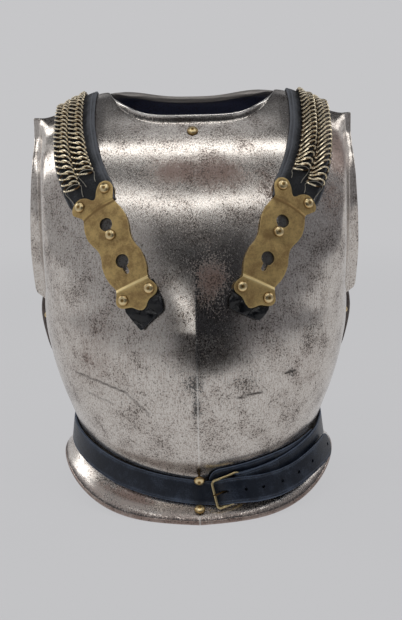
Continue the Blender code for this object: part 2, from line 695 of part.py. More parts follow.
def make_strap(name, side, leather):
    """A leather strap from under the hook plate's ears, over the shoulder, to the top of the back."""
    front = np.linspace(PLATE_UPPER[1] - STRAP_FOOT, -20.0, 20)
    alongs = np.concatenate((front, np.linspace(-14.0, 20.0, 7), np.linspace(28.0, STRAP_TAIL, 9)))
    offsets = np.linspace(-STRAP_HALF, STRAP_HALF, 5)
    under = np.full((len(alongs), len(offsets)), STRAP_GAP)
    top = strap_grid(alongs, offsets, under + LEATHER, side)
    return closed_wall(name, top, strap_grid(alongs, offsets, under, side), leather)


def make_chain(name, side, row, brass):
    """A row of flat-lying links: a rib for each link, with a dip between two links."""
    offset, foot, head = CHAIN_ROWS[row]
    start = PLATE_UPPER[1] + foot
    links = int((head - start) / CHAIN_PITCH)
    alongs = start + np.arange(2 * links + 1) * CHAIN_PITCH / 2
    ribs = np.where(np.arange(2 * links + 1) % 2 == 1, CHAIN_HEIGHT, CHAIN_DIP)
    base = STRAP_GAP + LEATHER + GAP
    edges = offset + CHAIN_HALF * np.array((-1.0, 1.0))
    flat = np.full((len(alongs), 2), base)
    top = strap_grid(alongs, edges, flat + ribs[:, None], side)
    return closed_wall(name, top, strap_grid(alongs, edges, flat, side), brass)


def make_tab(name, side, leather):
    """The leather pull tab riveted under the hook plate's foot."""
    along, half_width = np.array(TAB_EDGE).T[..., None]
    across = half_width * np.linspace(-1.0, 1.0, 5)
    flat = np.full(across.shape, GAP)
    under = on_plate(along, across, flat, side)
    top = on_plate(along, across, flat + LEATHER, side)
    return closed_wall(name, top, under, leather)


def rivet_on_plate(name, side, along, across, profile, brass):
    """A rivet or stud that stands square to the steel at a place on a hook plate."""
    foot, tip = on_plate(np.full(2, along), np.full(2, across), AXIS_ENDS, side)
    return turned(name, profile, foot, tip - foot, brass)


def rivet_on_steel(name, face, angle, level, profile, brass):
    """A rivet or stud square to the chest or the back at an angle and a level."""
    facing = -1.0 if face is chest else 1.0
    beside = face(angle + 0.02, level) - face(angle - 0.02, level)
    above = face(angle, level + 2.0) - face(angle, level - 2.0)
    return turned(name, profile, face(angle, level), facing * np.cross(above, beside), brass)


def waist_face(turn, level):
    """The steel's face all the way round at a level, with turn 0 at the middle of the chest."""
    folded = np.arcsin(np.sin(turn))
    in_front = np.cos(turn) >= 0.0
    return np.where(in_front[..., None], chest(folded, level), back(folded, level))


def waist_turns():
    """Turns round the waist and the length run to each from the middle of the chest."""
    turns = np.radians(np.linspace(-180.0, 180.0, 721))
    runs = lengths_along(waist_face(turns, np.full(len(turns), WAIST_LEVEL)))
    return turns, runs - runs[len(runs) // 2]


WAIST_TURNS, WAIST_RUNS = waist_turns()


def over_waist(run, across, height, middle):
    """Points of a band bridging the waist: its two edges touch the steel, and heights stand square off it."""
    run, across, height, middle = np.broadcast_arrays(run, across, height, middle)

    def edges(offset):
        turn = np.interp(run + offset, WAIST_RUNS, WAIST_TURNS)
        return waist_face(turn, middle - BELT_HALF), waist_face(turn, middle + BELT_HALF)

    low, high = edges(0.0)
    before = sum(edges(-2.0))
    beyond = sum(edges(2.0))
    up = high - low
    up /= np.linalg.norm(up, axis=-1, keepdims=True)
    normal = np.cross(beyond - before, up)
    normal /= np.linalg.norm(normal, axis=-1, keepdims=True)
    return 0.5 * (low + high) + up * across[..., None] + normal * height[..., None]


def band_edges(route, ply):
    """The two faces of a band that follows a route, as routes half its thickness to either side."""
    on = np.gradient(route[:, :2], axis=0)
    on /= np.linalg.norm(on, axis=1, keepdims=True)
    off = np.zeros_like(route)
    off[:, 0] = -on[:, 1]
    off[:, 1] = on[:, 0]
    return route + off * ply / 2, route - off * ply / 2


def band_face(route, halves):
    """A band's face: three points across it at each station of its route."""
    across = np.asarray(halves)[:, None] * np.array((-1.0, 0.0, 1.0))
    run, height, middle, lean, tilt = route.T[..., None]
    tilted = height + tilt * across / (2 * BELT_HALF)
    return over_waist(run - lean * across, across, tilted, middle)


def make_band(name, route, halves, ply, leather):
    """A leather band round the waist, of one thickness, along its route."""
    outer, inner = band_edges(route, ply)
    return closed_wall(name, band_face(outer, halves), band_face(inner, halves), leather)


def routed(table, runs):
    """The rows of a band's table at any runs along it."""
    table = np.array(table)
    return np.stack([smooth_through(runs, table[:, 0], column) for column in table.T], 1)


def rounded_half(distance):
    """Half the width of a band at a distance from its rounded end."""
    inside = np.clip(1.0 - distance / BELT_END_RADIUS, 0.0, BELT_END_PART)
    return BELT_HALF * np.sqrt(1.0 - inside**2)


def make_billet(leather):
    """The belt's long end: from the middle of the back, round the left side, through the buckle."""
    first, last = BILLET_ROUTE[0][0], BILLET_ROUTE[-1][0]
    round_waist = np.linspace(first, -20.0, 27)
    through_buckle = np.linspace(-10.0, 56.0, 17)
    tail = np.concatenate((np.linspace(68.0, last - 14.0, 8), last - np.array((8.0, 4.0, 1.5, 0.0))))
    runs = np.concatenate((round_waist, through_buckle, tail))
    halves = rounded_half(last - runs)
    billet = make_band("belt_billet", routed(BILLET_ROUTE, runs), halves, BELT_LEATHER, leather)
    for number, run in enumerate(HOLE_RUNS):
        punch(billet, number, run, 1.0)
    punch(billet, len(HOLE_RUNS), PRONG_HOLE_RUN, PRONG_HOLE_STRETCH)


def punch(billet, number, run, stretch):
    """A punched hole through the billet, stretched along it where the prong passes."""
    runs, height, middle, _, tilt = routed(BILLET_ROUTE, run + np.array((-1.0, 0.0, 1.0))).T
    line = over_waist(runs, 0.0, height, middle)
    edge = over_waist(runs, PUNCH_REACH, height + tilt * PUNCH_REACH / (2 * BELT_HALF), middle)
    on = line[2] - line[0]
    on /= np.linalg.norm(on)
    up = edge[1] - line[1]
    up /= np.linalg.norm(up)
    through = PUNCH_REACH * np.cross(on, up)
    angles = np.arange(8) * np.pi / 4
    ring = HOLE_RADIUS * (np.cos(angles)[:, None] * on * stretch + np.sin(angles)[:, None] * up)
    points = np.concatenate((line[1] + ring - through, line[1] + ring + through))
    faces = [(side, (side + 1) % 8, (side + 1) % 8 + 8, side + 8) for side in range(8)]
    faces += [tuple(range(7, -1, -1)), tuple(range(8, 16))]
    cutter = new_object(f"punch_{number}", points, faces, billet.active_material)
    cutter.hide_render = True
    cutter.display_type = "WIRE"
    cut = billet.modifiers.new(cutter.name, "BOOLEAN")
    cut.operation = "DIFFERENCE"
    cut.object = cutter


def make_buckle_strap(leather):
    """The belt's short end: from the middle of the back to the buckle, and doubled round its pivot."""
    round_waist = np.linspace(STRAP_LOWER_PLY[-1][0], 172.0, 15)
    to_buckle = np.linspace(160.0, STRAP_LOWER_PLY[0][0], 9)
    lower = routed(STRAP_LOWER_PLY, np.concatenate((round_waist, to_buckle)))
    turn = np.radians(np.linspace(-90.0, -270.0, 7))
    run = PIVOT_RUN + LOOP_RADIUS * np.cos(turn)
    height = PIVOT_HEIGHT + LOOP_RADIUS * np.sin(turn)
    loop = [(*place, STRAP_LEVEL, BUCKLE_LEAN, 0.0) for place in zip(run, height)]
    route = np.concatenate((lower, loop, STRAP_UPPER_PLY))
    halves = np.full(len(route), BELT_HALF)
    make_band("belt_buckle_strap", route, halves, STRAP_PLY, leather)


def make_safe(leather):
    """The broad leather flap under the buckle, which keeps it off the steel."""
    first, last = SAFE_ROUTE[0][0], SAFE_ROUTE[-1][0]
    runs = np.concatenate((first + np.array((0.0, 1.5, 4.0, 8.0)), np.linspace(20.0, last, 10)))
    halves = rounded_half(runs - first)
    make_band("belt_safe", routed(SAFE_ROUTE, runs), halves, SAFE_PLY, leather)


def buckle_point(on, across):
    """A point of the buckle frame's plane, from its own middle, turned to the strap's lean."""
    turn = np.radians(FRAME_TURN)
    run = FRAME_RUN + on * np.cos(turn) - across * np.sin(turn)
    level = FRAME_ACROSS + on * np.sin(turn) + across * np.cos(turn)
    part = (FRAME_HALF_RUN - on) / (2 * FRAME_HALF_RUN)
    free_bar = FREE_BAR_HEIGHT + FREE_BAR_TILT * across / (2 * FRAME_HALF_WIDTH)
    return over_waist(run, level, PIVOT_HEIGHT + part * (free_bar - PIVOT_HEIGHT), STRAP_LEVEL)


def wire(name, points, radius, closed, brass):
    """A round brass wire along points, its ends filled or its ring closed."""
    path = bpy.data.curves.new(name, "CURVE")
    path.dimensions = "3D"
    path.bevel_depth = radius * MM
    path.bevel_resolution = 2
    path.use_fill_caps = True
    spline = path.splines.new("POLY")
    spline.points.add(len(points) - 1)
    for node, point in zip(spline.points, (np.asarray(points) + (0.0, SEAM_Y, 0.0)) * MM):
        node.co = (*point, 1.0)
    spline.use_cyclic_u = closed
    path.materials.append(brass)
    bpy.context.collection.objects.link(bpy.data.objects.new(name, path))


def make_frame(brass):
    """The buckle's frame: one ring of wire, bent square with rounded corners."""
    inner_on = FRAME_HALF_RUN - FRAME_CORNER
    inner_across = FRAME_HALF_WIDTH - FRAME_CORNER
    turn = np.radians(np.arange(0.0, 360.0, 90.0)[:, None] + np.linspace(0.0, 90.0, 4))
    side_on = np.array((1.0, -1.0, -1.0, 1.0))[:, None]
    side_across = np.array((1.0, 1.0, -1.0, -1.0))[:, None]
    on = side_on * inner_on + FRAME_CORNER * np.cos(turn)
    across = side_across * inner_across + FRAME_CORNER * np.sin(turn)
    wire("buckle_frame", buckle_point(on.ravel(), across.ravel()), FRAME_WIRE, True, brass)


def make_prong(brass):
    """The buckle's prong: it rises through the billet's hole and rests on the free bar."""
    run, height = np.array(PRONG_ROUTE).T
    across = PRONG_ACROSS + (run - FRAME_RUN) * np.tan(np.radians(FRAME_TURN))
    points = over_waist(run, across, height, STRAP_LEVEL)
    wire("buckle_prong", points, PRONG_WIRE, False, brass)


def make_hook_rivets(word, side, brass):
    """The rivets at a hook plate's ears and foot, and the stud of the breastplate that it hangs on."""
    head = dome(plate_height(np.array(0.0)) + PLATE_WALL + GAP, RIVET_RADIUS, RIVET_DOME)
    places = [(along, across) for along in (0.0, PLATE_RIVETS) for across in (RIVET_ASIDE, -RIVET_ASIDE)]
    for number, (along, across) in enumerate(places, 1):
        rivet_on_plate(f"hook_rivet_{word}_{number}", side, along, across, head, brass)
    shape = stud(STUD_NECK, PLATE_WALL + 3 * GAP, RIVET_RADIUS, RIVET_DOME)
    rivet_on_plate(f"hook_stud_{word}", side, STUD_ALONG, 0.0, shape, brass)


def make_rear_rivets(word, side, brass):
    """The two rivets at the strap's rear end."""
    head = dome(STRAP_GAP + LEATHER + GAP, RIVET_RADIUS, RIVET_DOME)
    for number, offset in enumerate((-REAR_RIVET_ASIDE, REAR_RIVET_ASIDE), 1):
        ends = strap_grid((REAR_RIVET_ALONG, REAR_RIVET_ALONG), (offset,), AXIS_ENDS[:, None], side)
        foot, tip = ends[:, 0]
        turned(f"rear_rivet_{word}_{number}", head, foot, tip - foot, brass)


def make_steel_rivets(brass):
    """The rivets and studs that stand on bare steel: under the neck, at the waist and at the sides."""
    flush = dome(GAP, RIVET_RADIUS, RIVET_DOME)
    rivet_on_steel("neck_rivet", chest, 0.0, NECK_RIVET_LEVEL, flush, brass)
    lower, upper = WAIST_STUD_LEVELS
    low = stud(WAIST_STUD_NECK, LOWER_STUD_NECK_HEIGHT, RIVET_RADIUS, RIVET_DOME)
    rivet_on_steel("waist_stud_lower", chest, 0.0, lower, low, brass)
    tall = stud(WAIST_STUD_NECK, BELT_LEATHER + 2 * GAP + STUD_TIP, RIVET_RADIUS, RIVET_DOME)
    rivet_on_steel("waist_stud_upper", chest, 0.0, upper, tall, brass)
    small = dome(GAP, SIDE_RIVET_RADIUS, SIDE_RIVET_DOME)
    for word, side in SIDES:
        angle = side * np.radians(SIDE_RIVET_ANGLE)
        rivet_on_steel(f"side_rivet_{word}", swollen_back, angle, SIDE_RIVET_LEVEL, small, brass)


def make_belt_rivets(brass):
    """The rivets of the belt's two ends at the middle of the back."""
    over_billet = BILLET_ROUTE[0][1] + BELT_LEATHER / 2 + GAP
    over_strap = STRAP_LOWER_PLY[-1][1] + STRAP_PLY / 2 + GAP
    for (word, side), over in zip(SIDES, (over_billet, over_strap)):
        foot, tip = over_waist(side * BELT_RIVET_RUN, 0.0, AXIS_ENDS, STRAP_LEVEL)
        turned(f"belt_rivet_{word}", dome(over, RIVET_RADIUS, RIVET_DOME), foot, tip - foot, brass)


def main():
    """Clears the scene and builds the cuirass."""
    for old in list(bpy.data.objects):
        bpy.data.objects.remove(old)
    steel = finish("polished_aged_steel", "8d8c8d", 1.0, 0.32)
    dark_steel = finish("browned_steel", "3e3a38", 1.0, 0.45)
    brass = finish("aged_brass", "9c8550", 1.0, 0.38)
    chain_brass = finish("tarnished_brass_chain", "7d6a45", 1.0, 0.45)
    strap_leather = finish("black_strap_leather", "2b2d33", 0.0, 0.55)
    belt_leather = finish("black_belt_leather", "20252e", 0.0, 0.5)
    make_breastplate(steel)
    make_backplate(dark_steel)
    for word, side in SIDES:
        make_strap(f"shoulder_strap_{word}", side, strap_leather)
        for row in CHAIN_ROWS:
            make_chain(f"chain_{word}_{row}", side, row, chain_brass)
        make_hook_plate(f"hook_plate_{word}", side, brass)
        make_tab(f"pull_tab_{word}", side, strap_leather)
        make_hook_rivets(word, side, brass)
        make_rear_rivets(word, side, brass)
    make_billet(belt_leather)
    make_buckle_strap(belt_leather)
    make_safe(belt_leather)
    make_frame(brass)
    make_prong(brass)
    make_steel_rivets(brass)
    make_belt_rivets(brass)


main()
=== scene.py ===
"""A cuirass in polished steel: ridged breastplate, backplate, chain-faced shoulder straps and a waist belt.

Sizes are in millimetres in the object's own frame: +Z up, the chest towards -Y, and +X to the right of
someone who looks at the chest. Depths are measured from the side seams, which stand SEAM_Y behind the origin.
"""

import bpy
import numpy as np
from mathutils import Euler, Matrix


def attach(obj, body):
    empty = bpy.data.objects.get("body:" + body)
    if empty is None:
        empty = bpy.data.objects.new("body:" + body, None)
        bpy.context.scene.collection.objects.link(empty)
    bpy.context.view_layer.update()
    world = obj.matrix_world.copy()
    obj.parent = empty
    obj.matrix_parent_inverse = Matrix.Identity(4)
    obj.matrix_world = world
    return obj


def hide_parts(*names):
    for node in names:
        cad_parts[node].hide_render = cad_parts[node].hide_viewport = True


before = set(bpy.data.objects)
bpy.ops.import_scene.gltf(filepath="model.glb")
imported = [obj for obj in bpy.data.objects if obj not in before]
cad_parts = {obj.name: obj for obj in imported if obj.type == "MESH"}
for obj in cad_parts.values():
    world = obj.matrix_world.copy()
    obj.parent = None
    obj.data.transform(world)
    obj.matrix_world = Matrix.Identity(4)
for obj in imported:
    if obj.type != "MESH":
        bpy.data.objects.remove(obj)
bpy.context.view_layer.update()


# ---- The breastplate -------------------------------------------------------------------------------------
# One sheet of steel, 2.4 mm thick, raised by hammer over a stake: a ridged belly, a pinched waist and a
# flared rim whose edge is rolled, a neck turned out with a bead under it, and flanges turned out round the
# armholes.

MM = 0.001
SEAM_Y = 16.1
# "level" is the height before the rims and shoulders are bent. Then come half the width, how far the chest
# and the back stand out from the seams, the height of the chest's middle ridge, how far the armhole edges are
# cut back from the seams, and how far the backplate's side bulges past the breastplate's.
COLUMNS = ("level", "half_width", "chest", "ridge", "back", "chest_hole", "back_hole", "bulge")
SECTIONS = np.array(
    (
        (0.0, 150.0, 153.5, 4.0, 122.0, 0.0, 0.0, 0.0),
        (5.0, 149.5, 153.0, 4.0, 121.5, 0.0, 0.0, 0.0),
        (11.0, 143.5, 143.0, 4.5, 111.0, 0.0, 0.0, 0.0),
        (20.0, 136.5, 130.5, 5.0, 98.0, 0.0, 0.0, 0.0),
        (29.0, 134.0, 126.0, 5.5, 94.0, 0.0, 0.0, 0.0),
        (42.0, 135.5, 129.0, 6.0, 96.0, 0.0, 0.0, 0.0),
        (60.0, 140.5, 138.0, 6.5, 101.0, 0.0, 0.0, 0.0),
        (85.0, 147.5, 149.5, 6.5, 107.0, 0.0, 0.0, 3.5),
        (115.0, 154.0, 158.5, 6.0, 113.0, 0.0, 0.0, 8.5),
        (150.0, 160.0, 162.0, 5.0, 119.0, 0.0, 0.0, 12.5),
        (190.0, 165.0, 158.5, 3.8, 124.0, 0.0, 0.0, 13.5),
        (203.0, 165.3, 156.0, 3.4, 125.5, 1.0, 1.0, 12.5),
        (230.0, 165.0, 150.5, 2.6, 128.0, 14.0, 14.0, 4.0),
        (270.0, 163.5, 140.0, 1.4, 130.0, 36.0, 30.0, 0.0),
        (310.0, 162.5, 126.0, 0.6, 129.0, 44.0, 38.0, 0.0),
        (345.0, 162.5, 109.0, 0.2, 125.0, 43.0, 37.0, 0.0),
        (375.0, 163.0, 90.0, 0.0, 118.0, 34.0, 30.0, 0.0),
        (395.0, 163.5, 73.0, 0.0, 107.0, 20.0, 20.0, 0.0),
        (411.0, 164.0, 53.0, 0.0, 87.0, 9.0, 11.0, 0.0),
        (422.0, 164.5, 34.0, 0.0, 58.0, 8.0, 9.0, 0.0),
        (430.0, 165.0, 9.0, 0.0, 10.0, 7.5, 8.0, 0.0),
    )
)
TOP_LEVEL = 430.0
WAIST_LEVEL = 29.0
BELLY_LEVEL = 200.0
ARMHOLE_FOOT = 203.0
RIDGE_SPREAD = 28.0
RIDGE_ROUNDING = 0.7
SECTION_POWER = 0.93
WAIST_RISE = 38.0
RIM_RISE = 38.0
RIM_FLAT_ANGLE = 15.0
RIM_RISE_POWER = 1.5
SHOULDER_FALL = 26.0
SHOULDER_RUN = 75.0
SHOULDER_LEVEL = 300.0
NECK_HALF = 88.0
NECK_LEVEL = 397.0
NECK_POWER = 4.2
NECK_LIP = 5.2
NECK_LIP_RUN = 3.1
NECK_LIP_POWER = 1.7
NECK_LIP_SIDE = 26.0
NECK_BEAD_DROP = 2.8
NECK_BEAD_SPREAD = 2.1
NECK_BEAD = 0.5
COLLAR_RISE = 25.0
COLLAR_LEVEL = 340.0
CHEST_WALL = 2.4
FLANGE_RADIUS = 13.0
FLANGE_TURN = 74.0
FLANGE_LIP = 1.8
FLANGE_RUN = 13.0
# How far the flange is turned out at each level, as a part of the full turn.
FLANGE_PARTS = np.array(
    (
        (203.0, 0.95), (215.0, 1.15), (250.0, 1.2), (290.0, 1.08), (330.0, 0.88), (370.0, 0.7),
        (430.0, 0.5),
    )
)
# The columns that each side flange adds, nine round its bend and three along its lip, as (part of the turn,
# lip), and how many columns are smoothed where the flange leaves the sheet.
BEND_COLUMNS = [(part, 0.0) for part in np.linspace(0.1, 1.0, 9)]
LIP_COLUMNS = [(1.0, part * FLANGE_LIP) for part in (0.33, 0.67, 1.0)]
FLANGE_COLUMNS = np.array(BEND_COLUMNS + LIP_COLUMNS)
SOFT_COLUMNS = len(FLANGE_COLUMNS) + 22
FLANGE_SOFTNESS = 0.9
SEAM_LAP = 0.35
CORNER_LEVEL = 385.0
CORNER_RUN = 30.0
CORNER_TIGHTEN = 0.6
ROLL_RADIUS = 2.5
ROLL_OUT = 0.2
ROLL_CREASE_LEVEL = 5.6
ROLL_CREASE = 1.2
ROLL_CREASE_SPREAD = 1.5
ROLL_ROWS = 9
ROLL_OUTER_TURNS = np.linspace(-80.0, 62.0, ROLL_ROWS)
ROLL_INNER_TURNS = np.linspace(-100.0, -200.0, ROLL_ROWS)
NECK_ROWS = 46

# Where the steel has browned, as middles and half sizes on the chest: aside, height, half_width, half_height
# and strength.
BROWNED = np.array(
    (
        (-19.0, 347.0, 26.0, 15.0, 0.95),
        (26.0, 344.0, 36.0, 20.0, 0.8),
        (70.0, 330.0, 40.0, 30.0, 0.35),
        (148.0, 362.0, 16.0, 26.0, 1.0),
        (140.0, 320.0, 18.0, 30.0, 0.5),
        (-28.0, 402.0, 26.0, 5.0, 0.6),
        (15.0, 246.0, 17.0, 24.0, 0.8),
        (-70.0, 17.0, 26.0, 9.0, 1.0),
        (-104.0, 21.0, 20.0, 8.0, 0.8),
        (-24.0, 9.0, 30.0, 8.0, 0.55),
        (104.0, 12.0, 34.0, 10.0, 0.6),
        (40.0, 12.0, 60.0, 14.0, 0.45),
        (-100.0, 170.0, 30.0, 40.0, 0.4),
        (108.0, 150.0, 30.0, 36.0, 0.3),
        (-60.0, 250.0, 50.0, 40.0, 0.2),
    )
)
# Where it is stained nearly black, in the same columns. The four entries round the keyholes are painted
# shadow where the steel shows through the hook plates.
STAINS_AND_SHADE = np.array(
    (
        (-3.0, 146.0, 13.0, 13.0, 0.95),
        (-1.0, 122.0, 6.0, 22.0, 0.85),
        (-26.0, 158.0, 26.0, 10.0, 0.45),
        (20.0, 158.0, 16.0, 12.0, 0.55),
        (48.0, 146.0, 30.0, 14.0, 0.5),
        (30.0, 118.0, 30.0, 14.0, 0.35),
        (92.0, 148.0, 9.0, 7.0, 0.7),
        # Painted shadow: the steel seen through the hook plates' keyholes, darkened as if in the plates'
        # shade.
        (-88.0, 297.0, 7.0, 9.0, 2.0),
        (-71.5, 263.0, 7.0, 9.5, 2.0),
        (88.0, 297.0, 7.0, 9.0, 2.0),
        (71.5, 263.0, 7.0, 9.5, 2.0),
        (12.0, 186.0, 22.0, 14.0, 0.5),
        (-20.0, 268.0, 34.0, 18.0, 0.35),
        (40.0, 270.0, 30.0, 22.0, 0.3),
        (70.0, 112.0, 22.0, 16.0, 0.35),
        (-70.0, 116.0, 22.0, 14.0, 0.2),
        (-66.0, 84.0, 40.0, 16.0, 0.15),
        (60.0, 84.0, 40.0, 16.0, 0.2),
        (120.0, 262.0, 30.0, 50.0, 0.3),
        (110.0, 190.0, 34.0, 36.0, 0.45),
    )
)
# Scratches as two ends and a depth: first_aside, first_height, last_aside, last_height, strength.
SCRATCHES = np.array(
    (
        (-124.0, 147.0, -98.0, 142.0, 0.6),
        (-98.0, 142.0, -71.0, 134.0, 0.8),
        (-71.0, 134.0, -47.0, 112.0, 0.5),
        (39.0, 129.0, 63.0, 133.0, 1.0),
        (86.0, 148.0, 98.0, 150.0, 0.8),
        (-112.0, 128.0, -84.0, 120.0, 0.35),
    )
)
SCRATCH_HALF = 0.9


def cubic(part, start, end, leaving, arriving):
    """The cubic that joins start to end and leaves and arrives along two slopes, at any part of the way."""
    square, cube = part**2, part**3
    joined = start * (2 * cube - 3 * square + 1) + end * (3 * square - 2 * cube)
    return joined + leaving * (cube - 2 * square + part) + arriving * (cube - square)


def smooth_through(at, knots, values):
    """A cubic through values at rising knots: at each knot its slope is the mean of the slopes on both sides,
    weighted so that it never swings past the values it joins."""
    steps = np.diff(knots)
    slopes = np.diff(values) / steps
    first_weight = steps[:-1] + 2 * steps[1:]
    last_weight = 2 * steps[:-1] + steps[1:]
    same_way = slopes[:-1] * slopes[1:] > 0
    before = np.where(same_way, slopes[:-1], 1.0)
    after = np.where(same_way, slopes[1:], 1.0)
    mean = (first_weight + last_weight) / (first_weight / before + last_weight / after)
    tangents = np.concatenate((slopes[:1], np.where(same_way, mean, 0.0), slopes[-1:]))
    at = np.clip(at, knots[0], knots[-1])
    row = np.clip(np.searchsorted(knots, at, side="right") - 1, 0, len(knots) - 2)
    step = steps[row]
    slopes = step * tangents[row], step * tangents[row + 1]
    return cubic((at - knots[row]) / step, values[row], values[row + 1], *slopes)


def along_column(name, levels):
    """A column of SECTIONS at any level."""
    return smooth_through(levels, SECTIONS[:, 0], SECTIONS[:, COLUMNS.index(name)])


def ease(part):
    """From 0 to 1 with a level start and end: three times the square less twice the cube."""
    part = np.clip(part, 0.0, 1.0)
    return part * part * (3.0 - 2.0 * part)


def bell(off, half):
    """A bell curve, 1 in the middle and 1 / e at a half width off it."""
    return np.exp(-((off / half) ** 2))


def rise(angle, level):
    """How far a point is lifted over the hips: the waist by the squared sine of its angle, the rim by an
    eased angle past its flat front, a mixture of both on the flange, and less and less of the waist's above
    it."""
    waist = WAIST_RISE * np.sin(angle) ** 2
    turned = (np.degrees(np.abs(angle)) - RIM_FLAT_ANGLE) / (90.0 - RIM_FLAT_ANGLE)
    rim = RIM_RISE * ease(turned) ** RIM_RISE_POWER
    flange = rim + (waist - rim) * np.clip(level / WAIST_LEVEL, 0.0, 1.0)
    belly = waist * (1.0 - ease((level - WAIST_LEVEL) / (BELLY_LEVEL - WAIST_LEVEL)))
    return np.where(level < WAIST_LEVEL, flange, belly)


def fall(aside, level):
    """How far a point drops where the shoulders slope away: eased both outwards from the neck and upwards."""
    outside = ease((np.abs(aside) - NECK_HALF) / SHOULDER_RUN)
    return SHOULDER_FALL * outside * ease((level - SHOULDER_LEVEL) / (TOP_LEVEL - SHOULDER_LEVEL))


def chest(angle, level):
    """The breastplate's outer face. Aside is the half width times the sine of the angle, forward is the depth
    times a power of its cosine, plus a ridge that falls off exponentially from the middle."""
    half = along_column("half_width", level)
    ridge = along_column("ridge", level)
    hole = along_column("chest_hole", level)
    aside = half * np.sin(angle)
    depth = along_column("chest", level) - ridge - hole
    crest = ridge * np.exp((RIDGE_ROUNDING - np.sqrt(aside**2 + RIDGE_ROUNDING**2)) / RIDGE_SPREAD)
    forward = hole + depth * np.abs(np.cos(angle)) ** SECTION_POWER + crest
    height = level + rise(angle, level) - fall(aside, level)
    return np.stack(np.broadcast_arrays(aside, -forward, height), -1)


def outward(points, facing):
    """Unit normals of a grid, the cross product of its two gradients: facing is -1 on the chest, 1 behind."""
    normals = facing * np.cross(np.gradient(points, axis=0), np.gradient(points, axis=1))
    return normals / np.linalg.norm(normals, axis=-1, keepdims=True)


def plate_levels(angles, low_levels, neck_rows, neck_level, neck_power):
    """Rows of levels: the low ones are even, and the rest close up towards the neckline, which rises from the
    middle by a power of the distance aside."""
    aside = np.abs(along_column("half_width", TOP_LEVEL) * np.sin(angles))
    neckline = neck_level + (TOP_LEVEL - neck_level) * np.minimum(aside / NECK_HALF, 1.0) ** neck_power
    low = np.repeat(low_levels[:, None], len(angles), axis=1)
    part = 1.0 - (1.0 - np.arange(1, neck_rows + 1) / neck_rows) ** 1.8
    high = low_levels[-1] + (neckline - low_levels[-1]) * part[:, None]
    return np.concatenate((low, high)), aside, neckline


def with_side_flanges(points, edge_levels, facing, foot, width):
    """The sheet with FLANGE_COLUMNS added at each side. Round the armhole they curl out on an arc and end in
    a straight lip; below the foot they only run on past the seam."""
    turned = width * smooth_through(edge_levels, *FLANGE_PARTS.T)
    turned *= ease((edge_levels - foot) / FLANGE_RUN)
    tight = 1.0 - CORNER_TIGHTEN * ease((edge_levels - CORNER_LEVEL) / CORNER_RUN)
    part, lip = FLANGE_COLUMNS.T
    turn = np.radians(FLANGE_TURN * part)
    curled_on = FLANGE_RADIUS * np.sin(turn) + lip * np.cos(turn)
    curled_out = FLANGE_RADIUS * (1.0 - np.cos(turn)) + lip * np.sin(turn)
    lap = (FLANGE_RADIUS * turn + lip) * SEAM_LAP
    onward = turned[:, None] * tight[:, None] * curled_on + (1.0 - np.minimum(turned, 1.0)[:, None]) * lap
    step = np.stack((turned[:, None] * curled_out, -facing * onward, np.zeros_like(onward)), -1)
    right = points[:, -1:] + step
    left = points[:, :1] + step[:, ::-1] * (-1.0, 1.0, 1.0)
    return np.concatenate((left, points, right), axis=1)


def softly_flanged(outer, weights):
    """The sheet with each side, over its SOFT_COLUMNS, drawn towards one smooth curve that leaves the sheet
    along its own heading and arrives along the flange's: a cubic with both headings, mixed in by a weight a
    row."""
    eased = outer.copy()
    for side in (eased, eased[:, ::-1]):
        first, last = side[:, -SOFT_COLUMNS], side[:, -1]
        leaving, arriving = first - side[:, -SOFT_COLUMNS - 2], last - side[:, -4]
        reach = 1.1 * np.linalg.norm(last - first, axis=-1, keepdims=True)
        leaving *= reach / np.linalg.norm(leaving, axis=-1, keepdims=True)
        arriving *= reach / np.linalg.norm(arriving, axis=-1, keepdims=True)
        steps = np.linalg.norm(np.diff(side[:, -SOFT_COLUMNS:], axis=1), axis=-1)
        part = np.pad(np.cumsum(steps, 1) / steps.sum(1, keepdims=True), ((0, 0), (1, 0)))[..., None]
        curve = cubic(part, first[:, None], last[:, None], leaving[:, None], arriving[:, None])
        side[:, -SOFT_COLUMNS:] += weights[:, None, None] * (curve - side[:, -SOFT_COLUMNS:])
    return eased


def rolled_rim(root, facing, turns):
    """Rows round the edge roll: a circle about the rim's own line, in the plane of its horizontal normal."""
    level_out = outward(np.stack((root, root + (0.0, 0.0, 2.0))), facing)[0] * (1.0, 1.0, 0.0)
    level_out /= np.linalg.norm(level_out, axis=-1, keepdims=True)
    middle = root + level_out * (ROLL_OUT - ROLL_RADIUS)
    turns = np.radians(turns)[:, None, None]
    upward = np.array((0.0, 0.0, 1.0))
    return middle + ROLL_RADIUS * (np.cos(turns) * level_out + np.sin(turns) * upward)


def grid_faces(rows, columns):
    """Four-cornered faces of a grid of points, one row each."""
    index = np.arange(rows * columns).reshape(rows, columns)
    corners = index[:-1, :-1], index[1:, :-1], index[1:, 1:], index[:-1, 1:]
    return np.stack([corner.ravel() for corner in corners], 1)


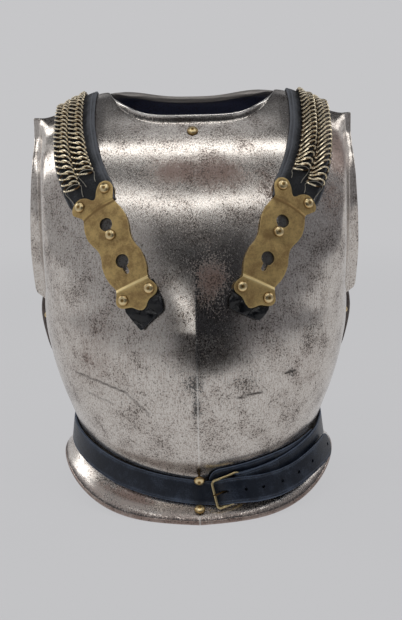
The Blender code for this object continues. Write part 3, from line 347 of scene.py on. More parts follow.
def shell(outer, inner, rounding):
    """A closed sheet between two grids, its edge closed by a half circle through both faces. Returns its
    points, its faces, the place in the outer grid that each point comes from, and 1 for points on the inner
    face. rounding, a number for each place of the outer grid, is 0 where the edge stays flat."""
    rows, columns = outer.shape[:2]
    count = rows * columns
    index = np.arange(count).reshape(rows, columns)
    edge = np.concatenate((index[0, :-1], index[:-1, -1], index[-1, :0:-1], index[:0:-1, 0]))
    outside, within = outer.reshape(-1, 3), inner.reshape(-1, 3)
    row, column = np.divmod(edge, columns)
    beside = np.clip(row, 1, rows - 2) * columns + np.clip(column, 1, columns - 2)
    middle = 0.5 * (outside[edge] + within[edge])
    half = 0.5 * (outside[edge] - within[edge])
    length = np.linalg.norm(half, axis=1, keepdims=True)
    off = middle - 0.5 * (outside[beside] + within[beside])
    off -= half * (off * half).sum(1, keepdims=True) / length**2
    off *= length / np.linalg.norm(off, axis=1, keepdims=True) * rounding.ravel()[edge][:, None]
    turns = np.radians((30.0, 65.0, 115.0, 150.0))
    rings = [middle + np.cos(turn) * half + np.sin(turn) * off for turn in turns]
    points = np.concatenate([outside, within] + rings)
    loops = [edge] + [2 * count + np.arange(len(edge)) + ring * len(edge) for ring in range(len(rings))]
    loops.append(edge + count)
    faces = [grid_faces(rows, columns), grid_faces(rows, columns)[:, ::-1] + count]
    faces += [np.stack((a, np.roll(a, -1), np.roll(b, -1), b), 1) for a, b in zip(loops, loops[1:])]
    source = np.concatenate((index.ravel(), index.ravel(), np.tile(edge, len(rings))))
    inside = np.repeat((0.0, 1.0, 0.0), (count, count, len(rings) * len(edge)))
    return points, np.concatenate(faces), source, inside


def over_the_edges(values):
    """A number for each place of a sheet, carried on over its edge roll's rows and its flanges' columns."""
    return np.pad(values, ((ROLL_ROWS, 0), (len(FLANGE_COLUMNS), len(FLANGE_COLUMNS))), "edge")


def whole_plate(face, facing, angles, levels, raised, walls, foot, width, softness):
    """A plate's outer grid, then its shell. The grid lies on a face, raised off it here and there and creased
    over the edge roll, with the roll's rows below it and a flange at each side. The inner one lies a wall
    behind it. facing is -1 on the chest and 1 behind; foot and width are the flanges' own."""
    sheet = face(angles, levels)
    crease = -ROLL_CREASE * bell(levels - ROLL_CREASE_LEVEL, ROLL_CREASE_SPREAD)
    sheet += (raised + crease)[..., None] * outward(sheet, facing)
    rim_line = face(angles, np.full(len(angles), ROLL_RADIUS))
    edge_levels = np.concatenate((np.zeros(ROLL_ROWS), levels[:, 0]))
    outer = np.concatenate((rolled_rim(rim_line, facing, ROLL_OUTER_TURNS), sheet))
    outer = with_side_flanges(outer, edge_levels, facing, foot, width)
    if softness:
        outer = softly_flanged(outer, softness * ease((edge_levels - foot - 2.0) / 30.0))
    rolled = rolled_rim(rim_line, facing, ROLL_INNER_TURNS)
    rolled = with_side_flanges(rolled, np.zeros(ROLL_ROWS), facing, foot, width)
    behind = outer - outward(outer, facing) * over_the_edges(walls)[..., None]
    rounding = np.ones(outer.shape[:2])
    rounding[:ROLL_ROWS] = 0.0
    return outer, *shell(outer, np.concatenate((rolled, behind[ROLL_ROWS:])), rounding)


def new_piece(name, points, faces, material, replaced, attributes=None):
    """A mesh object from points in millimetres, its faces turned outwards, that rides on the cuirass and
    stands for its CAD nodes. attributes holds a number for each point, or one for all, under each name."""
    corners = points[faces]
    fans = np.cross(corners[:, 1] - corners[:, 0], corners[:, -1] - corners[:, 0])
    fans += np.cross(corners[:, -1] - corners[:, -2], corners[:, 1] - corners[:, -2])
    if (corners.mean(1) * fans).sum() < 0.0:
        faces = faces[:, ::-1]
    mesh = bpy.data.meshes.new(name)
    mesh.from_pydata((points + (0.0, SEAM_Y, 0.0)) * MM, [], faces.tolist())
    for word, values in (attributes or {}).items():
        field = mesh.attributes.new(word, "FLOAT", "POINT")
        field.data.foreach_set("value", np.full(len(points), values, np.float32))
    mesh.materials.append(material)
    mesh.shade_smooth()
    mesh.set_sharp_from_angle(angle=np.radians(40.0))
    piece = bpy.data.objects.new(name, mesh)
    bpy.context.collection.objects.link(piece)
    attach(piece, "root")
    if replaced:
        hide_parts(*replaced)
    return piece


def to_linear(srgb_hex):
    """The linear colour, with an alpha of 1, of an sRGB colour written as six hex digits."""
    srgb = np.array([int(srgb_hex[start : start + 2], 16) / 255.0 for start in (0, 2, 4)])
    linear = np.where(srgb > 0.04045, ((srgb + 0.055) / 1.055) ** 2.4, srgb / 12.92)
    return (*linear.tolist(), 1.0)


def add(tree, kind, inputs=None, **settings):
    """Adds a shader node. settings are the node's own; inputs gives a value or another node's output for each
    of its inputs, by name or by number."""
    made = tree.nodes.new("ShaderNode" + kind)
    for word, value in settings.items():
        setattr(made, word, value)
    for place, value in (inputs or {}).items():
        if isinstance(value, bpy.types.NodeSocket):
            tree.links.new(value, made.inputs[place])
        else:
            made.inputs[place].default_value = value
    return made


def attribute(tree, name):
    """The number that a piece's attribute of that name holds at each place."""
    return add(tree, "Attribute", attribute_name=name).outputs["Fac"]


def new_material(name, **sockets):
    """A material with a Principled BSDF whose plain numbers are set on its own sockets, and its coordinates
    in millimetres: returns the material, its node tree, its shader and the coordinates."""
    material = bpy.data.materials.new(name)
    material.use_nodes = True
    tree = material.node_tree
    shader = tree.nodes["Principled BSDF"]
    for word, value in sockets.items():
        shader.inputs[word.replace("_", " ")].default_value = value
    place = add(tree, "TexCoord").outputs["Object"]
    place = add(tree, "Mapping", {"Vector": place, "Scale": (1000.0, 1000.0, 1000.0)}).outputs[0]
    return material, tree, shader, place


def noise(tree, place, size, detail=4.0, stretch=(1.0, 1.0, 1.0), rough=0.55):
    """Fractal noise whose largest lumps are size millimetres, drawn out along an axis by its stretch."""
    scale = tuple(1.0 / (size * long) for long in stretch)
    place = add(tree, "Mapping", {"Vector": place, "Scale": scale}).outputs[0]
    made = add(tree, "TexNoise", {"Vector": place, "Scale": 1.0, "Detail": detail, "Roughness": rough})
    return made.outputs["Factor"] if "Factor" in made.outputs else made.outputs[0]


def between(tree, value, low, high):
    """0 below low, 1 above high, and an eased step between them."""
    inputs = {"Value": value, "From Min": low, "From Max": high}
    return add(tree, "MapRange", inputs, interpolation_type="SMOOTHSTEP").outputs[0]


def summed(tree, first, weight, second):
    """first plus weight times second."""
    return add(tree, "Math", {0: second, 1: weight, 2: first}, operation="MULTIPLY_ADD").outputs[0]


def mixed(tree, factor, first, last):
    """A colour from first to last; each is a hex colour or another node's output."""
    ends = [to_linear(end) if isinstance(end, str) else end for end in (first, last)]
    return add(tree, "Mix", {0: factor, 6: ends[0], 7: ends[1]}, data_type="RGBA").outputs[2]


def aged_steel(name, clean, dull, brown, black, rough):
    """Steel polished by hand, then left for two centuries. Fine upright brushing and a soft satin gloss;
    brown patina where the "browned" attribute says, and black where the "stain_and_shade" attribute says,
    both broken up by noise: the black is partly real stains and partly painted shade in hollows, creases and
    keyholes; a pale colour, painted highlights on the ridge and edges, where the "wear_and_painted_light"
    attribute says; pits about 1 mm across; and a hammered surface whose reflections waver over a few
    centimetres."""
    material, tree, shader, place = new_material(name, Metallic=1.0, Roughness=rough)
    brushing = noise(tree, place, 0.9, 3.0, (1.0, 1.0, 16.0))
    mottle = noise(tree, place, 26.0, 6.0, rough=0.66)
    grain = noise(tree, place, 1.3, 3.0, (1.0, 1.0, 1.3), 0.6)
    specks = noise(tree, place, 1.6, 3.0, rough=0.7)
    waver = noise(tree, place, 60.0, 2.0, (1.0, 1.0, 0.8))
    browned = attribute(tree, "browned")
    stain_and_shade = attribute(tree, "stain_and_shade")
    scratched = attribute(tree, "scratched")
    wear_and_painted_light = attribute(tree, "wear_and_painted_light")
    brownness = between(tree, summed(tree, summed(tree, browned, 2.2, grain), 1.0, mottle), 1.82, 2.4)
    blackness = between(tree, summed(tree, summed(tree, stain_and_shade, 2.2, grain), 1.0, mottle), 2.02, 2.5)
    pitted = between(tree, summed(tree, specks, 0.45, mottle), 0.76, 0.87)
    matted = between(tree, summed(tree, grain, 0.7, brushing), 0.5, 1.0)
    colour = mixed(tree, matted, dull, clean)
    colour = mixed(tree, summed(tree, 0.0, 0.25, between(tree, mottle, 0.42, 0.66)), colour, dull)
    colour = mixed(tree, summed(tree, 0.0, 0.7, brownness), colour, brown)
    # Black stains, and painted shade where the attribute marks hollows and keyholes.
    colour = mixed(tree, summed(tree, 0.0, 0.85, blackness), colour, black)
    colour = mixed(tree, summed(tree, 0.0, 0.8, pitted), colour, "35281f")
    colour = mixed(tree, scratched, colour, "2b2522")
    # Painted highlights: a pale colour on the ridge and edges.
    colour = mixed(tree, wear_and_painted_light, colour, "f0ece6")
    tree.links.new(colour, shader.inputs["Base Color"])
    oxidised = summed(tree, summed(tree, 1.0, -0.6, brownness), -0.35, blackness)
    tree.links.new(oxidised, shader.inputs["Metallic"])
    dulled = summed(tree, summed(tree, rough - 0.02, 0.04, grain), 0.2, brownness)
    dulled = summed(tree, summed(tree, dulled, 0.14, blackness), 0.06, brushing)
    tree.links.new(dulled, shader.inputs["Roughness"])
    relief = summed(tree, summed(tree, brushing, -0.5, pitted), -2.0, scratched)
    fine = add(tree, "Bump", {"Height": relief, "Strength": 0.4, "Distance": 0.000009}).outputs[0]
    broad = {"Height": waver, "Strength": 0.6, "Distance": 0.0008, "Normal": fine}
    tree.links.new(add(tree, "Bump", broad).outputs[0], shader.inputs["Normal"])
    return material


def patches(first, second, table):
    """The strength of the strongest patch at each place, given by two lengths. A table's columns are each
    patch's middle and half size in both, and its strength, which falls off as a bell curve in both."""
    first_middle, second_middle, first_half, second_half, strength = table.T
    off = (first[..., None] - first_middle) / first_half
    up = (second[..., None] - second_middle) / second_half
    return (strength * np.exp(-(off**2) - up**2)).max(-1)


def scratches(points, table):
    """1 on each scratch's line and falling to 0 at SCRATCH_HALF from it."""
    first, last, strength = table[:, :2], table[:, 2:4], table[:, 4]
    run = last - first
    place = points[..., None, (0, 2)] - first
    part = np.clip((place * run).sum(-1) / (run**2).sum(-1), 0.0, 1.0)
    off = np.linalg.norm(place - part[..., None] * run, axis=-1)
    return (strength * np.clip(1.5 - off / SCRATCH_HALF, 0.0, 1.0)).max(-1)


steel = aged_steel("hand_polished_aged_steel", "e9e3db", "a7998f", "7d5546", "2c3033", 0.18)

# Columns stand close together at the ridge, and rows at the rim, the waist and the neckline.
near_ridge = np.array((0.0, 0.12, 0.28, 0.5, 0.8, 1.2, 1.8, 2.6, 3.5))
right_angles = np.concatenate((near_ridge, np.linspace(4.5, 88.5, 80), (89.3, 90.0)))
chest_angles = np.radians(np.concatenate((-right_angles[:0:-1], right_angles)))
waist_levels = np.linspace(ROLL_CREASE_LEVEL, 62.0, 26)
low_levels = np.concatenate((waist_levels, np.arange(64.0, 200.0, 2.0), np.arange(201.0, 324.0, 4.0)))
levels, aside, neckline = plate_levels(chest_angles, low_levels, NECK_ROWS, NECK_LEVEL, NECK_POWER)
drop = neckline - levels
lip = NECK_LIP * np.clip(1.0 - drop / NECK_LIP_RUN, 0.0, 1.0) ** NECK_LIP_POWER
lip += NECK_BEAD * bell(drop - NECK_BEAD_DROP, NECK_BEAD_SPREAD)
lip *= ease((NECK_HALF - aside) / NECK_LIP_SIDE)
walls = np.full(levels.shape, CHEST_WALL)
shape = (lip, walls, ARMHOLE_FOOT, 1.0, FLANGE_SOFTNESS)
outer, points, faces, source, inside = whole_plate(chest, -1, chest_angles, levels, *shape)

# The ridge, the neck's edge and a band over the roll are painted bright as highlights, and painted shade
# darkens the hollow just under the neck's edge and the crease above the roll.
on_ridge = bell(outer[..., 0], 0.7) * ease((265.0 - outer[..., 2]) / 60.0)
from_rim = over_the_edges(drop)
in_neck = np.pad(ease((NECK_HALF + 2.0 - aside) / 6.0), len(FLANGE_COLUMNS), "edge")
from_crease = over_the_edges(levels - ROLL_CREASE_LEVEL)
wear_and_painted_light = np.maximum(0.75 * on_ridge, in_neck * bell(from_rim, 0.3))
wear_and_painted_light = np.maximum(wear_and_painted_light, 0.55 * bell(from_crease - 3.6, 1.5))
in_crease = bell(from_crease, 1.4)
in_crease[: ROLL_ROWS - 1] = 0.0
painted_shade = np.maximum(0.95 * in_neck * bell(from_rim - 1.5, 1.3), 0.9 * in_crease)
round_rim = np.arcsin(np.clip(outer[..., 0] / SECTIONS[0, 1], -1.0, 1.0))
low_on_rim = bell(outer[..., 2] - rise(round_rim, 0.0), 13.0)
brown = np.maximum(patches(outer[..., 0], outer[..., 2], BROWNED), 0.85 * low_on_rim)
black = np.maximum(patches(outer[..., 0], outer[..., 2], STAINS_AND_SHADE), painted_shade)
fields = {
    "browned": np.maximum(brown.ravel()[source], 0.75 * inside),
    "stain_and_shade": np.maximum(black.ravel()[source], 0.9 * inside),
    "scratched": scratches(outer, SCRATCHES).ravel()[source] * (1.0 - inside),
    "wear_and_painted_light": wear_and_painted_light.ravel()[source] * (1.0 - inside),
}
new_piece("breastplate_sheet", points, faces, steel, ["breastplate"], fields)


# ---- The backplate ---------------------------------------------------------------------------------------
# A thinner sheet raised the same way, left brown and unpolished, with a collar behind the neck whose edge is
# rolled, the same rolled rim, and side edges that tuck inside the breastplate's.

BACK_WALL = 1.4
COLLAR_ROLL = 7.5
COLLAR_ROLL_RUN = 3.6
COLLAR_ROLL_SIDE = 14.0
BACK_NECK_LEVEL = 405.0
BACK_NECK_POWER = 3.0
SEAM_GAP = 0.8
RIM_WALL = 4.6
RIM_TOP = 24.0
BACK_FLANGE_FOOT = 222.0
BACK_FLANGE_WIDTH = 0.5
BACK_NECK_ROWS = 34
TUCK_ANGLE = 86.0
SWELL_ANGLE = 6.0


def back(angle, level, bulge=0.0):
    """The backplate's outer face: the chest's formula without a ridge, plus a collar that rises inside the
    neck by a fifth power aside."""
    half = along_column("half_width", level) + bulge
    hole = along_column("back_hole", level)
    aside = half * np.sin(angle)
    depth = along_column("back", level) - hole
    backward = hole + depth * np.abs(np.cos(angle)) ** SECTION_POWER
    inside_neck = np.clip(1.0 - np.abs(aside / NECK_HALF) ** 5, 0.0, 1.0)
    collar = COLLAR_RISE * inside_neck * ease((level - COLLAR_LEVEL) / (BACK_NECK_LEVEL - COLLAR_LEVEL))
    height = level + rise(angle, level) - fall(aside, level) + collar
    return np.stack(np.broadcast_arrays(aside, backward, height), -1)


def swollen_back(angle, level):
    """The back with its lower side edges drawn in behind the breastplate's, and bulging just behind them."""
    behind_edge = ease((TUCK_ANGLE - np.degrees(np.abs(angle))) / SWELL_ANGLE)
    lapped = np.where(level < BACK_FLANGE_FOOT, 1.0, 0.0)
    tuck = SEAM_GAP + np.where(level < RIM_TOP, RIM_WALL, CHEST_WALL)
    bulge = behind_edge * along_column("bulge", level) - (1.0 - behind_edge) * tuck * lapped
    return back(angle, level, bulge)


browned_steel = aged_steel("unpolished_browned_steel", "6f6864", "4b4542", "7a6459", "3c4668", 0.42)

right_angles = np.concatenate((np.linspace(0.0, 80.0, 56), np.linspace(81.0, 90.0, 19)))
back_angles = np.radians(np.concatenate((-right_angles[:0:-1], right_angles)))
# Two rows stand close together where the side edges come out from behind the breastplate's.
above_waist = np.concatenate((np.arange(66.0, 219.0, 5.0), (220.5, 223.5), np.arange(227.0, 330.0, 5.0)))
low_levels = np.concatenate((waist_levels, above_waist))
neck = (BACK_NECK_ROWS, BACK_NECK_LEVEL, BACK_NECK_POWER)
levels, aside, neckline = plate_levels(back_angles, low_levels, *neck)
thickened = (COLLAR_ROLL - BACK_WALL) * ease((NECK_HALF - aside) / COLLAR_ROLL_SIDE)
walls = BACK_WALL + thickened * bell(neckline - levels, COLLAR_ROLL_RUN)
shape = (np.zeros(levels.shape), walls, BACK_FLANGE_FOOT, BACK_FLANGE_WIDTH, 0.0)
_, points, faces, source, inside = whole_plate(swollen_back, 1, back_angles, levels, *shape)
# Painted highlight: the collar's rolled edge is painted paler and browner, as if it caught the light, and is
# left out of the dark inside.
collar_highlight = over_the_edges(bell(neckline - levels, 4.0)).ravel()[source]
fields = {
    "browned": 0.3 + 0.2 * collar_highlight,
    "stain_and_shade": 0.2 + 0.9 * inside * (1.0 - collar_highlight),
    "scratched": 0.0,
    "wear_and_painted_light": 0.4 * collar_highlight,
}
new_piece("backplate_sheet", points, faces, browned_steel, ["backplate"], fields)


# ---- The shoulder straps ---------------------------------------------------------------------------------
# A band of black harness leather over each shoulder, 49 mm wide and 2.4 mm thick, with a line creased along
# both edges. Its front end is riveted under a hook plate and its rear end to the top of the backplate.

SIDES = (("left", -1.0), ("right", 1.0))
LEATHER = 2.4
STRAP_HALF = 24.5
STRAP_GAP = 0.8
PLATE_TOP = -158.0
STRAP_FOOT = 10.5
STRAP_TAIL = 104.0
STRAP_TAPER = 0.2
STRAP_TAPER_RUN = 20.0
CHAIN_EDGE = -14.0
STRAP_CREASE_IN = 3.0
STRAP_CREASE = 0.45
CREST_RISE = 1.5
# The strap's middle line over the shoulder as (along, aside): "along" is the length from the crest, forward
# below zero and back above it. PLATE_TOP is where a hook plate's upper rivets are on it.
STRAP_ROUTE = np.array(
    (
        (-190.0, 85.0), (-158.0, 98.0), (-135.0, 107.0), (-105.0, 115.5), (-60.0, 121.0), (0.0, 122.5),
        (50.0, 120.0), (110.0, 112.0),
    )
)


def lengths_along(line):
    """The length run to each point of a line."""
    return np.concatenate(((0.0,), np.cumsum(np.linalg.norm(np.diff(line, axis=0), axis=1))))


shoulder_asides = np.arange(20.0, 156.0, 2.0)
shoulder_alongs = np.arange(-330.0, 171.0, 2.0)
near_top = np.arange(420.0, TOP_LEVEL + 0.1, 1.0)
line_levels = np.concatenate((np.arange(100.0, 420.0, 4.0), near_top))
shoulder_grid = np.empty((len(shoulder_asides), len(shoulder_alongs), 2))
for row, aside in enumerate(shoulder_asides):
    angle = np.arcsin(np.minimum(aside / along_column("half_width", line_levels), 1.0))
    top = ((0.0, TOP_LEVEL + CREST_RISE - fall(aside, TOP_LEVEL)),)
    front_line = chest(angle, line_levels)[:, 1:]
    line = np.concatenate((front_line, top, back(angle, line_levels)[::-1, 1:]))
    lengths = lengths_along(line)
    lengths -= lengths[len(front_line)]
    shoulder_grid[row] = np.stack([np.interp(shoulder_alongs, lengths, places) for places in line.T], 1)


def over_shoulder(aside, along):
    """Points of the steel at a distance aside and a length along from the crest, read between four places of
    the shoulder's grid in proportion to how near each is."""
    aside, along = np.broadcast_arrays(aside, along)
    column = (aside - shoulder_asides[0]) / (shoulder_asides[1] - shoulder_asides[0])
    place = (along - shoulder_alongs[0]) / (shoulder_alongs[1] - shoulder_alongs[0])
    left = np.clip(column.astype(int), 0, len(shoulder_asides) - 2)
    low = np.clip(place.astype(int), 0, len(shoulder_alongs) - 2)
    part = (column - left)[..., None]
    step = (place - low)[..., None]
    near = shoulder_grid[left, low] * (1 - step) + shoulder_grid[left, low + 1] * step
    far = shoulder_grid[left + 1, low] * (1 - step) + shoulder_grid[left + 1, low + 1] * step
    return np.concatenate((aside[..., None], near * (1 - part) + far * part), -1)


def face_of(aside, along):
    """The steel's face, its unit normal, and its tangents aside and along, from places 4 mm to each side."""
    reach = 4.0
    sideways = over_shoulder(aside + reach, along) - over_shoulder(aside - reach, along)
    lengthways = over_shoulder(aside, along + reach) - over_shoulder(aside, along - reach)
    normal = np.cross(sideways, lengthways)
    normal /= np.linalg.norm(normal, axis=-1, keepdims=True)
    return over_shoulder(aside, along), normal, sideways / (2 * reach), lengthways / (2 * reach)


def square_to(aside, along, heading):
    """For a heading (aside, along) on the steel: that heading and the one square to it, each 1 mm long there.
    The square one is the cross product with the normal, solved back onto the two tangents."""
    _, normal, sideways, lengthways = face_of(aside, along)
    direction = heading[..., :1] * sideways + heading[..., 1:] * lengthways
    length = np.linalg.norm(direction, axis=-1, keepdims=True)
    square = np.cross(normal, direction / length)
    ss, ll = (sideways**2).sum(-1), (lengthways**2).sum(-1)
    sl = (sideways * lengthways).sum(-1)
    qs, ql = (square * sideways).sum(-1), (square * lengthways).sum(-1)
    across = np.stack((ll * qs - sl * ql, ss * ql - sl * qs), -1) / (ss * ll - sl**2)[..., None]
    return heading / length, across * np.sign(across[..., :1])


def standing_off(aside, along, height, side):
    """Points at a height over the steel, on the left shoulder for a side of -1 and the right one for 1."""
    point, normal, _, _ = face_of(aside, along)
    return (point + normal * np.asarray(height)[..., None]) * (side, 1.0, 1.0)


def on_strap(along, offset, height, side):
    """Points over a strap: its middle line runs through the route, and offsets stand square to it, outwards
    above zero."""
    along, offset, height = np.broadcast_arrays(along, offset, height)
    middle = smooth_through(along, *STRAP_ROUTE.T)
    change = smooth_through(along + 5.0, *STRAP_ROUTE.T) - smooth_through(along - 5.0, *STRAP_ROUTE.T)
    _, across = square_to(middle, along, np.stack((change, np.full(change.shape, 10.0)), -1))
    return standing_off(middle + offset * across[..., 0], along + offset * across[..., 1], height, side)


def strap_leather(name, surface, worn, rough, grain_size):
    """Vegetable-tanned leather, dyed black and waxed. A fine pebbled grain, a soft sheen, and grey wear where
    the "worn" attribute says: along the edges and creases, broken up by noise."""
    material, tree, shader, place = new_material(name, Specular_IOR_Level=0.42, IOR=1.5)
    pebbles = add(tree, "TexVoronoi", {"Vector": place, "Scale": 1.0 / grain_size}).outputs["Distance"]
    fibres = noise(tree, place, 1.2, 5.0, rough=0.7)
    patches = noise(tree, place, 14.0, 4.0, rough=0.6)
    wear = attribute(tree, "worn")
    wear_and_painted_light = between(tree, summed(tree, summed(tree, wear, 0.8, fibres), 0.7, patches), 0.75, 1.55)
    colour = mixed(tree, wear_and_painted_light, surface, worn)
    tree.links.new(colour, shader.inputs["Base Color"])
    tree.links.new(summed(tree, summed(tree, rough, 0.2, wear_and_painted_light), 0.12, patches), shader.inputs["Roughness"])
    relief = summed(tree, summed(tree, pebbles, 0.8, fibres), 1.2, patches)
    bump = {"Height": relief, "Strength": 0.5, "Distance": 0.00022}
    tree.links.new(add(tree, "Bump", bump).outputs[0], shader.inputs["Normal"])
    return material


harness_leather = strap_leather("waxed_black_harness_leather", "15171b", "74777d", 0.5, 1.1)

edge_steps = np.array((0.0, 0.25, 0.6, 1.2, 2.2, 2.7, 3.0, 3.3, 3.8, 5.0, 7.0))
from_one_edge = np.concatenate((edge_steps, np.linspace(9.5, 39.5, 13), 2 * STRAP_HALF - edge_steps[::-1]))
strap_offsets = from_one_edge - STRAP_HALF
strap_alongs = np.linspace(PLATE_TOP - STRAP_FOOT, STRAP_TAIL, 130)
for word, side in SIDES:
    along, offset = np.meshgrid(strap_alongs, strap_offsets, indexing="ij")
    from_edge = STRAP_HALF - np.abs(offset)
    from_foot = along - strap_alongs[0]
    offset = offset * (1.0 - STRAP_TAPER * ease(1.0 - from_foot / STRAP_TAPER_RUN))
    creased = STRAP_CREASE * bell(from_edge - STRAP_CREASE_IN, 0.45)
    rounded = 0.5 * np.exp(-from_edge / 0.5)
    wave = 0.25 * np.sin(along / 7.0 + 0.1 * offset) * np.exp(-from_edge / 6.0)
    top = on_strap(along, offset, STRAP_GAP + LEATHER - creased - rounded + wave, side)
    under = on_strap(along, offset, np.full(offset.shape, STRAP_GAP), side)
    points, faces, source, _ = shell(top, under, np.full(top.shape[:2], 0.5))
    bare = ease((CHAIN_EDGE - offset) / 3.0)
    worn = 0.3 * bare + 0.45 * np.exp(-from_edge / 1.2)
    worn = worn + 0.5 * bell(from_edge - STRAP_CREASE_IN - 1.0, 0.7) + 0.1
    fields = {"worn": worn.ravel()[source]}
    name = f"shoulder_strap_{word}"
    new_piece(f"{name}_leather", points, faces, harness_leather, [name], fields)


# ---- The chains on the straps ----------------------------------------------------------------------------
# Two rows of curb chain lie side by side on each strap. Each link is a ring of 1.7 mm brass wire, 18 mm wide,
# twisted and laid aslant so that it sits flat on its neighbours. A thin staple ties each row's last link to
# the plate.

CHAIN_PITCH = 6.8
CHAIN_HALF = 9.0
LINK_WIRE = 0.85
LINK_REACH = 4.3
LINK_TWIST = 1.8
LINK_HOOK = 0.35
END_SKEW = 0.35
SKEW_RUN = 26.0
LINK_STATIONS = 20
WIRE_SIDES = 6
STAPLE_WIRE = 0.4
GAP = 0.35
# Half of the staple as (part of the row's half width, length from the row's end towards the plate, height).
HALF_STAPLE = np.array(
    (
        (0.0, -3.8, 3.4), (0.4, -3.4, 3.3), (0.8, -2.2, 2.9), (0.93, 0.0, 1.9),
        (0.86, 2.5, 1.0), (0.74, 6.0, 0.6), (0.64, 9.5, 0.8), (0.6, 14.0, 1.6),
    )
)
STAPLE = np.concatenate((HALF_STAPLE[:0:-1] * (-1.0, 1.0, 1.0), HALF_STAPLE))
# How far the links lean on each side: both chains are twisted the same way round, so they don't mirror.
LINK_SKEW = {-1: 5.0, 1: 12.5}
# Where each row runs, as (offset, foot, head): the offset from the strap's middle, how far the row stops
# above the hook plate's rivets, and where it ends behind the crest.
CHAIN_ROWS = {"outer": (13.4, 19.5, 82.0), "inner": (-4.4, 27.0, 88.0)}


def wire_along(path, radius, sides, closed, normal=None):
    """Points and faces of round wires: each row of path is one wire's middle line, and rings of points stand
    square to it, turned from the normal of the plane that the wire lies in. A straight wire has no such
    plane, so its normal is given. An open wire has flat ends, and a closed one joins its ends."""
    wires, stations = path.shape[:2]
    if closed:
        ahead = np.roll(path, -1, 1) - np.roll(path, 1, 1)
    else:
        ahead = np.gradient(path, axis=1)
    ahead /= np.linalg.norm(ahead, axis=-1, keepdims=True)
    if normal is None:
        normal = np.linalg.svd(path - path.mean(1, keepdims=True))[2][:, 2:]
    beside = np.cross(ahead, normal)
    beside /= np.linalg.norm(beside, axis=-1, keepdims=True)
    over = np.cross(ahead, beside)
    turns = np.arange(sides) * 2.0 * np.pi / sides
    around = np.cos(turns)[:, None] * beside[..., None, :] + np.sin(turns)[:, None] * over[..., None, :]
    radius = np.broadcast_to(np.asarray(radius, float), (wires, stations))
    points = (path[:, :, None] + radius[..., None, None] * around).reshape(-1, 3)
    index = np.arange(wires * stations * sides).reshape(wires, stations, sides)
    last = stations if closed else stations - 1
    near, far = index[:, :last], np.roll(index, -1, 1)[:, :last]
    corners = near, np.roll(near, -1, 2), np.roll(far, -1, 2), far
    faces = [np.stack([corner.ravel() for corner in corners], 1)]
    if not closed:
        first, final = index[:, 0], index[:, -1]
        for side in range(1, sides - 2, 2):
            faces.append(first[:, (0, side + 2, side + 1, side)])
            faces.append(final[:, (0, side, side + 1, side + 2)])
    return points, np.concatenate(faces)


def brass(name, bright, dull, stain, rough, stain_size, bare=1.0):
    """Brass, cast or drawn, dulled by age. Its clean yellow shows where the "wear_and_painted_light"
    attribute is high: on edges, as wear and as painted highlights, and on raised wires, rivet tops and the
    plates' lower folds as painted highlights. Where it is low the tarnish thickens, which at the rivets' feet
    and the plates' folds is painted shade. Elsewhere a thin olive-brown tarnish lies in blotches, with fine
    scuffs that soften the gloss. bare is how much of it the tarnish leaves as metal."""
    material, tree, shader, place = new_material(name, Metallic=bare)
    blotches = noise(tree, place, stain_size, 5.0, rough=0.65)
    scuffs = noise(tree, place, 0.8, 3.0, (1.0, 1.0, 5.0))
    specks = noise(tree, place, 1.3, 2.0)
    wear_and_painted_light = attribute(tree, "wear_and_painted_light")
    # Painted shade where the attribute is low, and painted highlights and wear where it is high.
    tarnish = between(tree, summed(tree, summed(tree, blotches, 0.3, specks), -0.4, wear_and_painted_light), 0.42, 0.84)
    colour = mixed(tree, tarnish, dull, stain)
    clean = between(tree, summed(tree, wear_and_painted_light, 0.4, scuffs), 0.35, 1.0)
    colour = mixed(tree, clean, colour, bright)
    tree.links.new(colour, shader.inputs["Base Color"])
    gloss = summed(tree, summed(tree, rough, 0.16, tarnish), 0.1, scuffs)
    tree.links.new(gloss, shader.inputs["Roughness"])
    relief = summed(tree, scuffs, 1.5, blotches)
    bump = {"Height": relief, "Strength": 0.4, "Distance": 0.0001}
    tree.links.new(add(tree, "Bump", bump).outputs[0], shader.inputs["Normal"])
    return material


chain_brass = brass("drawn_brass_chain_wire", "fff0d0", "7a6042", "1a130d", 0.22, 9.0, 0.86)
staple_wire = brass("tinned_iron_staple_wire", "d6d2c6", "b9b2a2", "8a8274", 0.35, 9.0)

